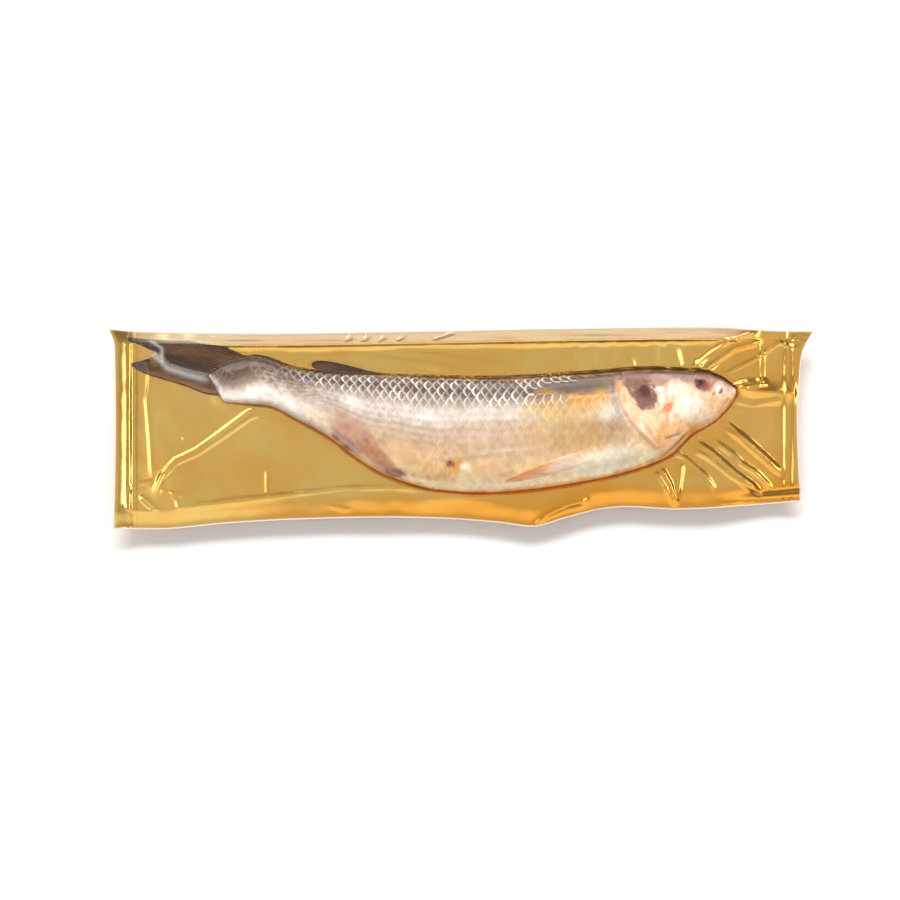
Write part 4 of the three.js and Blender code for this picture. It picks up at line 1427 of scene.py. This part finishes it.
def table_surface(colour):
    """A white laminate table top, satin and all but plain."""
    material, tree = new_material("white_laminate_table")
    place = add(tree, "ShaderNodeTexCoord").outputs["Object"]
    grain_inputs = {"Vector": place, "Scale": TABLE_GRAIN, "Detail": 2.0}
    grain = add(tree, "ShaderNodeTexNoise", grain_inputs).outputs["Fac"]
    tone = blend_colour(tree, step_up(tree, grain, 0.3, 0.7, 0.0, 0.04), tuple(colour), linear("#e4e2de"))
    inputs = {"Base Color": tone, "Roughness": 0.7, "Specular IOR Level": 0.2}
    finish_material(tree, add(tree, "ShaderNodeBsdfPrincipled", inputs).outputs["BSDF"])
    return material


def light_the_room():
    """A soft tent of light: grey straight above, where the camera hangs, and bright near the table."""
    world = bpy.data.worlds.new("studio")
    bpy.context.scene.world = world
    world.use_nodes = True
    tree = world.node_tree
    tree.nodes.clear()
    way = add(tree, "ShaderNodeTexCoord").outputs["Generated"]
    _, back, up = add(tree, "ShaderNodeSeparateXYZ", {0: way}).outputs
    zenith = step_up(tree, up, 0.84, 0.98, 0.2, 0.6)
    low = step_up(tree, up, 0.25, 0.08, 0.0, 0.6)
    front = calculate(
        tree, "MULTIPLY", step_up(tree, back, -0.24, -0.5), step_up(tree, back, -0.88, -0.72, 0.0, 0.8)
    )
    strength = calculate(tree, "ADD", calculate(tree, "ADD", zenith, low), front)
    inputs = {"Color": linear("#fffdfa"), "Strength": strength}
    shade = add(tree, "ShaderNodeBackground", inputs).outputs[0]
    tree.links.new(shade, add(tree, "ShaderNodeOutputWorld").inputs[0])


class MULLET_OT_stage(bpy.types.Operator):
    """Set up the table, the lights and the camera"""

    bl_idname = "mullet.stage"
    bl_label = "Stage"

    def execute(self, context):
        own = context.scene.mullet_stage
        corners = [(a * TABLE_HALF, b * TABLE_HALF, 0) for a, b in ((-1, -1), (1, -1), (1, 1), (-1, 1))]
        table = make_object("table", corners, np.array([[0, 1, 2, 3]]), table_surface(own.floor))
        light_the_room()
        key = add_lamp("key", (0, 1.03, 1.03), (0, 0, 0), 1.4, 0.5, own.key_power)
        key.visible_glossy = False  # the gleams come from the two strips
        add_lamp("strip", (-0.45, 0.9, 1.05), (0, 0, 0), 1.5, 0.42, 6)
        add_lamp("right", (0.78, 0.0, 1.2), (0, 0, 0), 0.6, 0.1, 1.5)
        add_lamp("left", (-0.8, -0.1, 1.2), (0, 0, 0), 0.45, 0.5, 1.6)
        data = bpy.data.cameras.new("camera")
        data.lens = own.lens
        camera = bpy.data.objects.new("camera", data)
        camera.location = (-0.0067, -0.0131, own.camera_height)
        context.scene.collection.objects.link(camera)
        context.scene.camera = camera
        context.scene.view_settings.view_transform = "Standard"
        context.scene.view_settings.look = "None"
        return {"FINISHED"}


class MULLET_PT_panel(bpy.types.Panel):
    """Lists what can be made and what can be changed"""

    bl_idname = "MULLET_PT_panel"
    bl_label = "Salted Mullet"
    bl_space_type = "VIEW_3D"
    bl_region_type = "UI"
    bl_category = "Mullet"

    def draw(self, context):
        for operator in OPERATORS:
            self.layout.operator(operator.bl_idname)
        for name, kind in SETTINGS.items():
            box = self.layout.box()
            for key in kind.__annotations__:
                box.prop(getattr(context.scene, name), key)


SETTINGS = {
    "mullet_fish": FishSettings,
    "mullet_pouch": PouchSettings,
    "mullet_stage": StageSettings,
}
OPERATORS = [
    MULLET_OT_stage,
    MULLET_OT_skin,
    MULLET_OT_scales,
    MULLET_OT_fins,
    MULLET_OT_pouch,
]


def register():
    for kind in (*SETTINGS.values(), *OPERATORS, MULLET_PT_panel):
        bpy.utils.register_class(kind)
    for name, kind in SETTINGS.items():
        setattr(bpy.types.Scene, name, bpy.props.PointerProperty(type=kind))


def unregister():
    for name in SETTINGS:
        delattr(bpy.types.Scene, name)
    for kind in reversed((*SETTINGS.values(), *OPERATORS, MULLET_PT_panel)):
        bpy.utils.unregister_class(kind)


def main():
    register()
    bpy.ops.mullet.stage()
    bpy.ops.mullet.skin()
    bpy.ops.mullet.scales()
    bpy.ops.mullet.fins()
    bpy.ops.mullet.pouch()


if __name__ == "__main__":
    main()
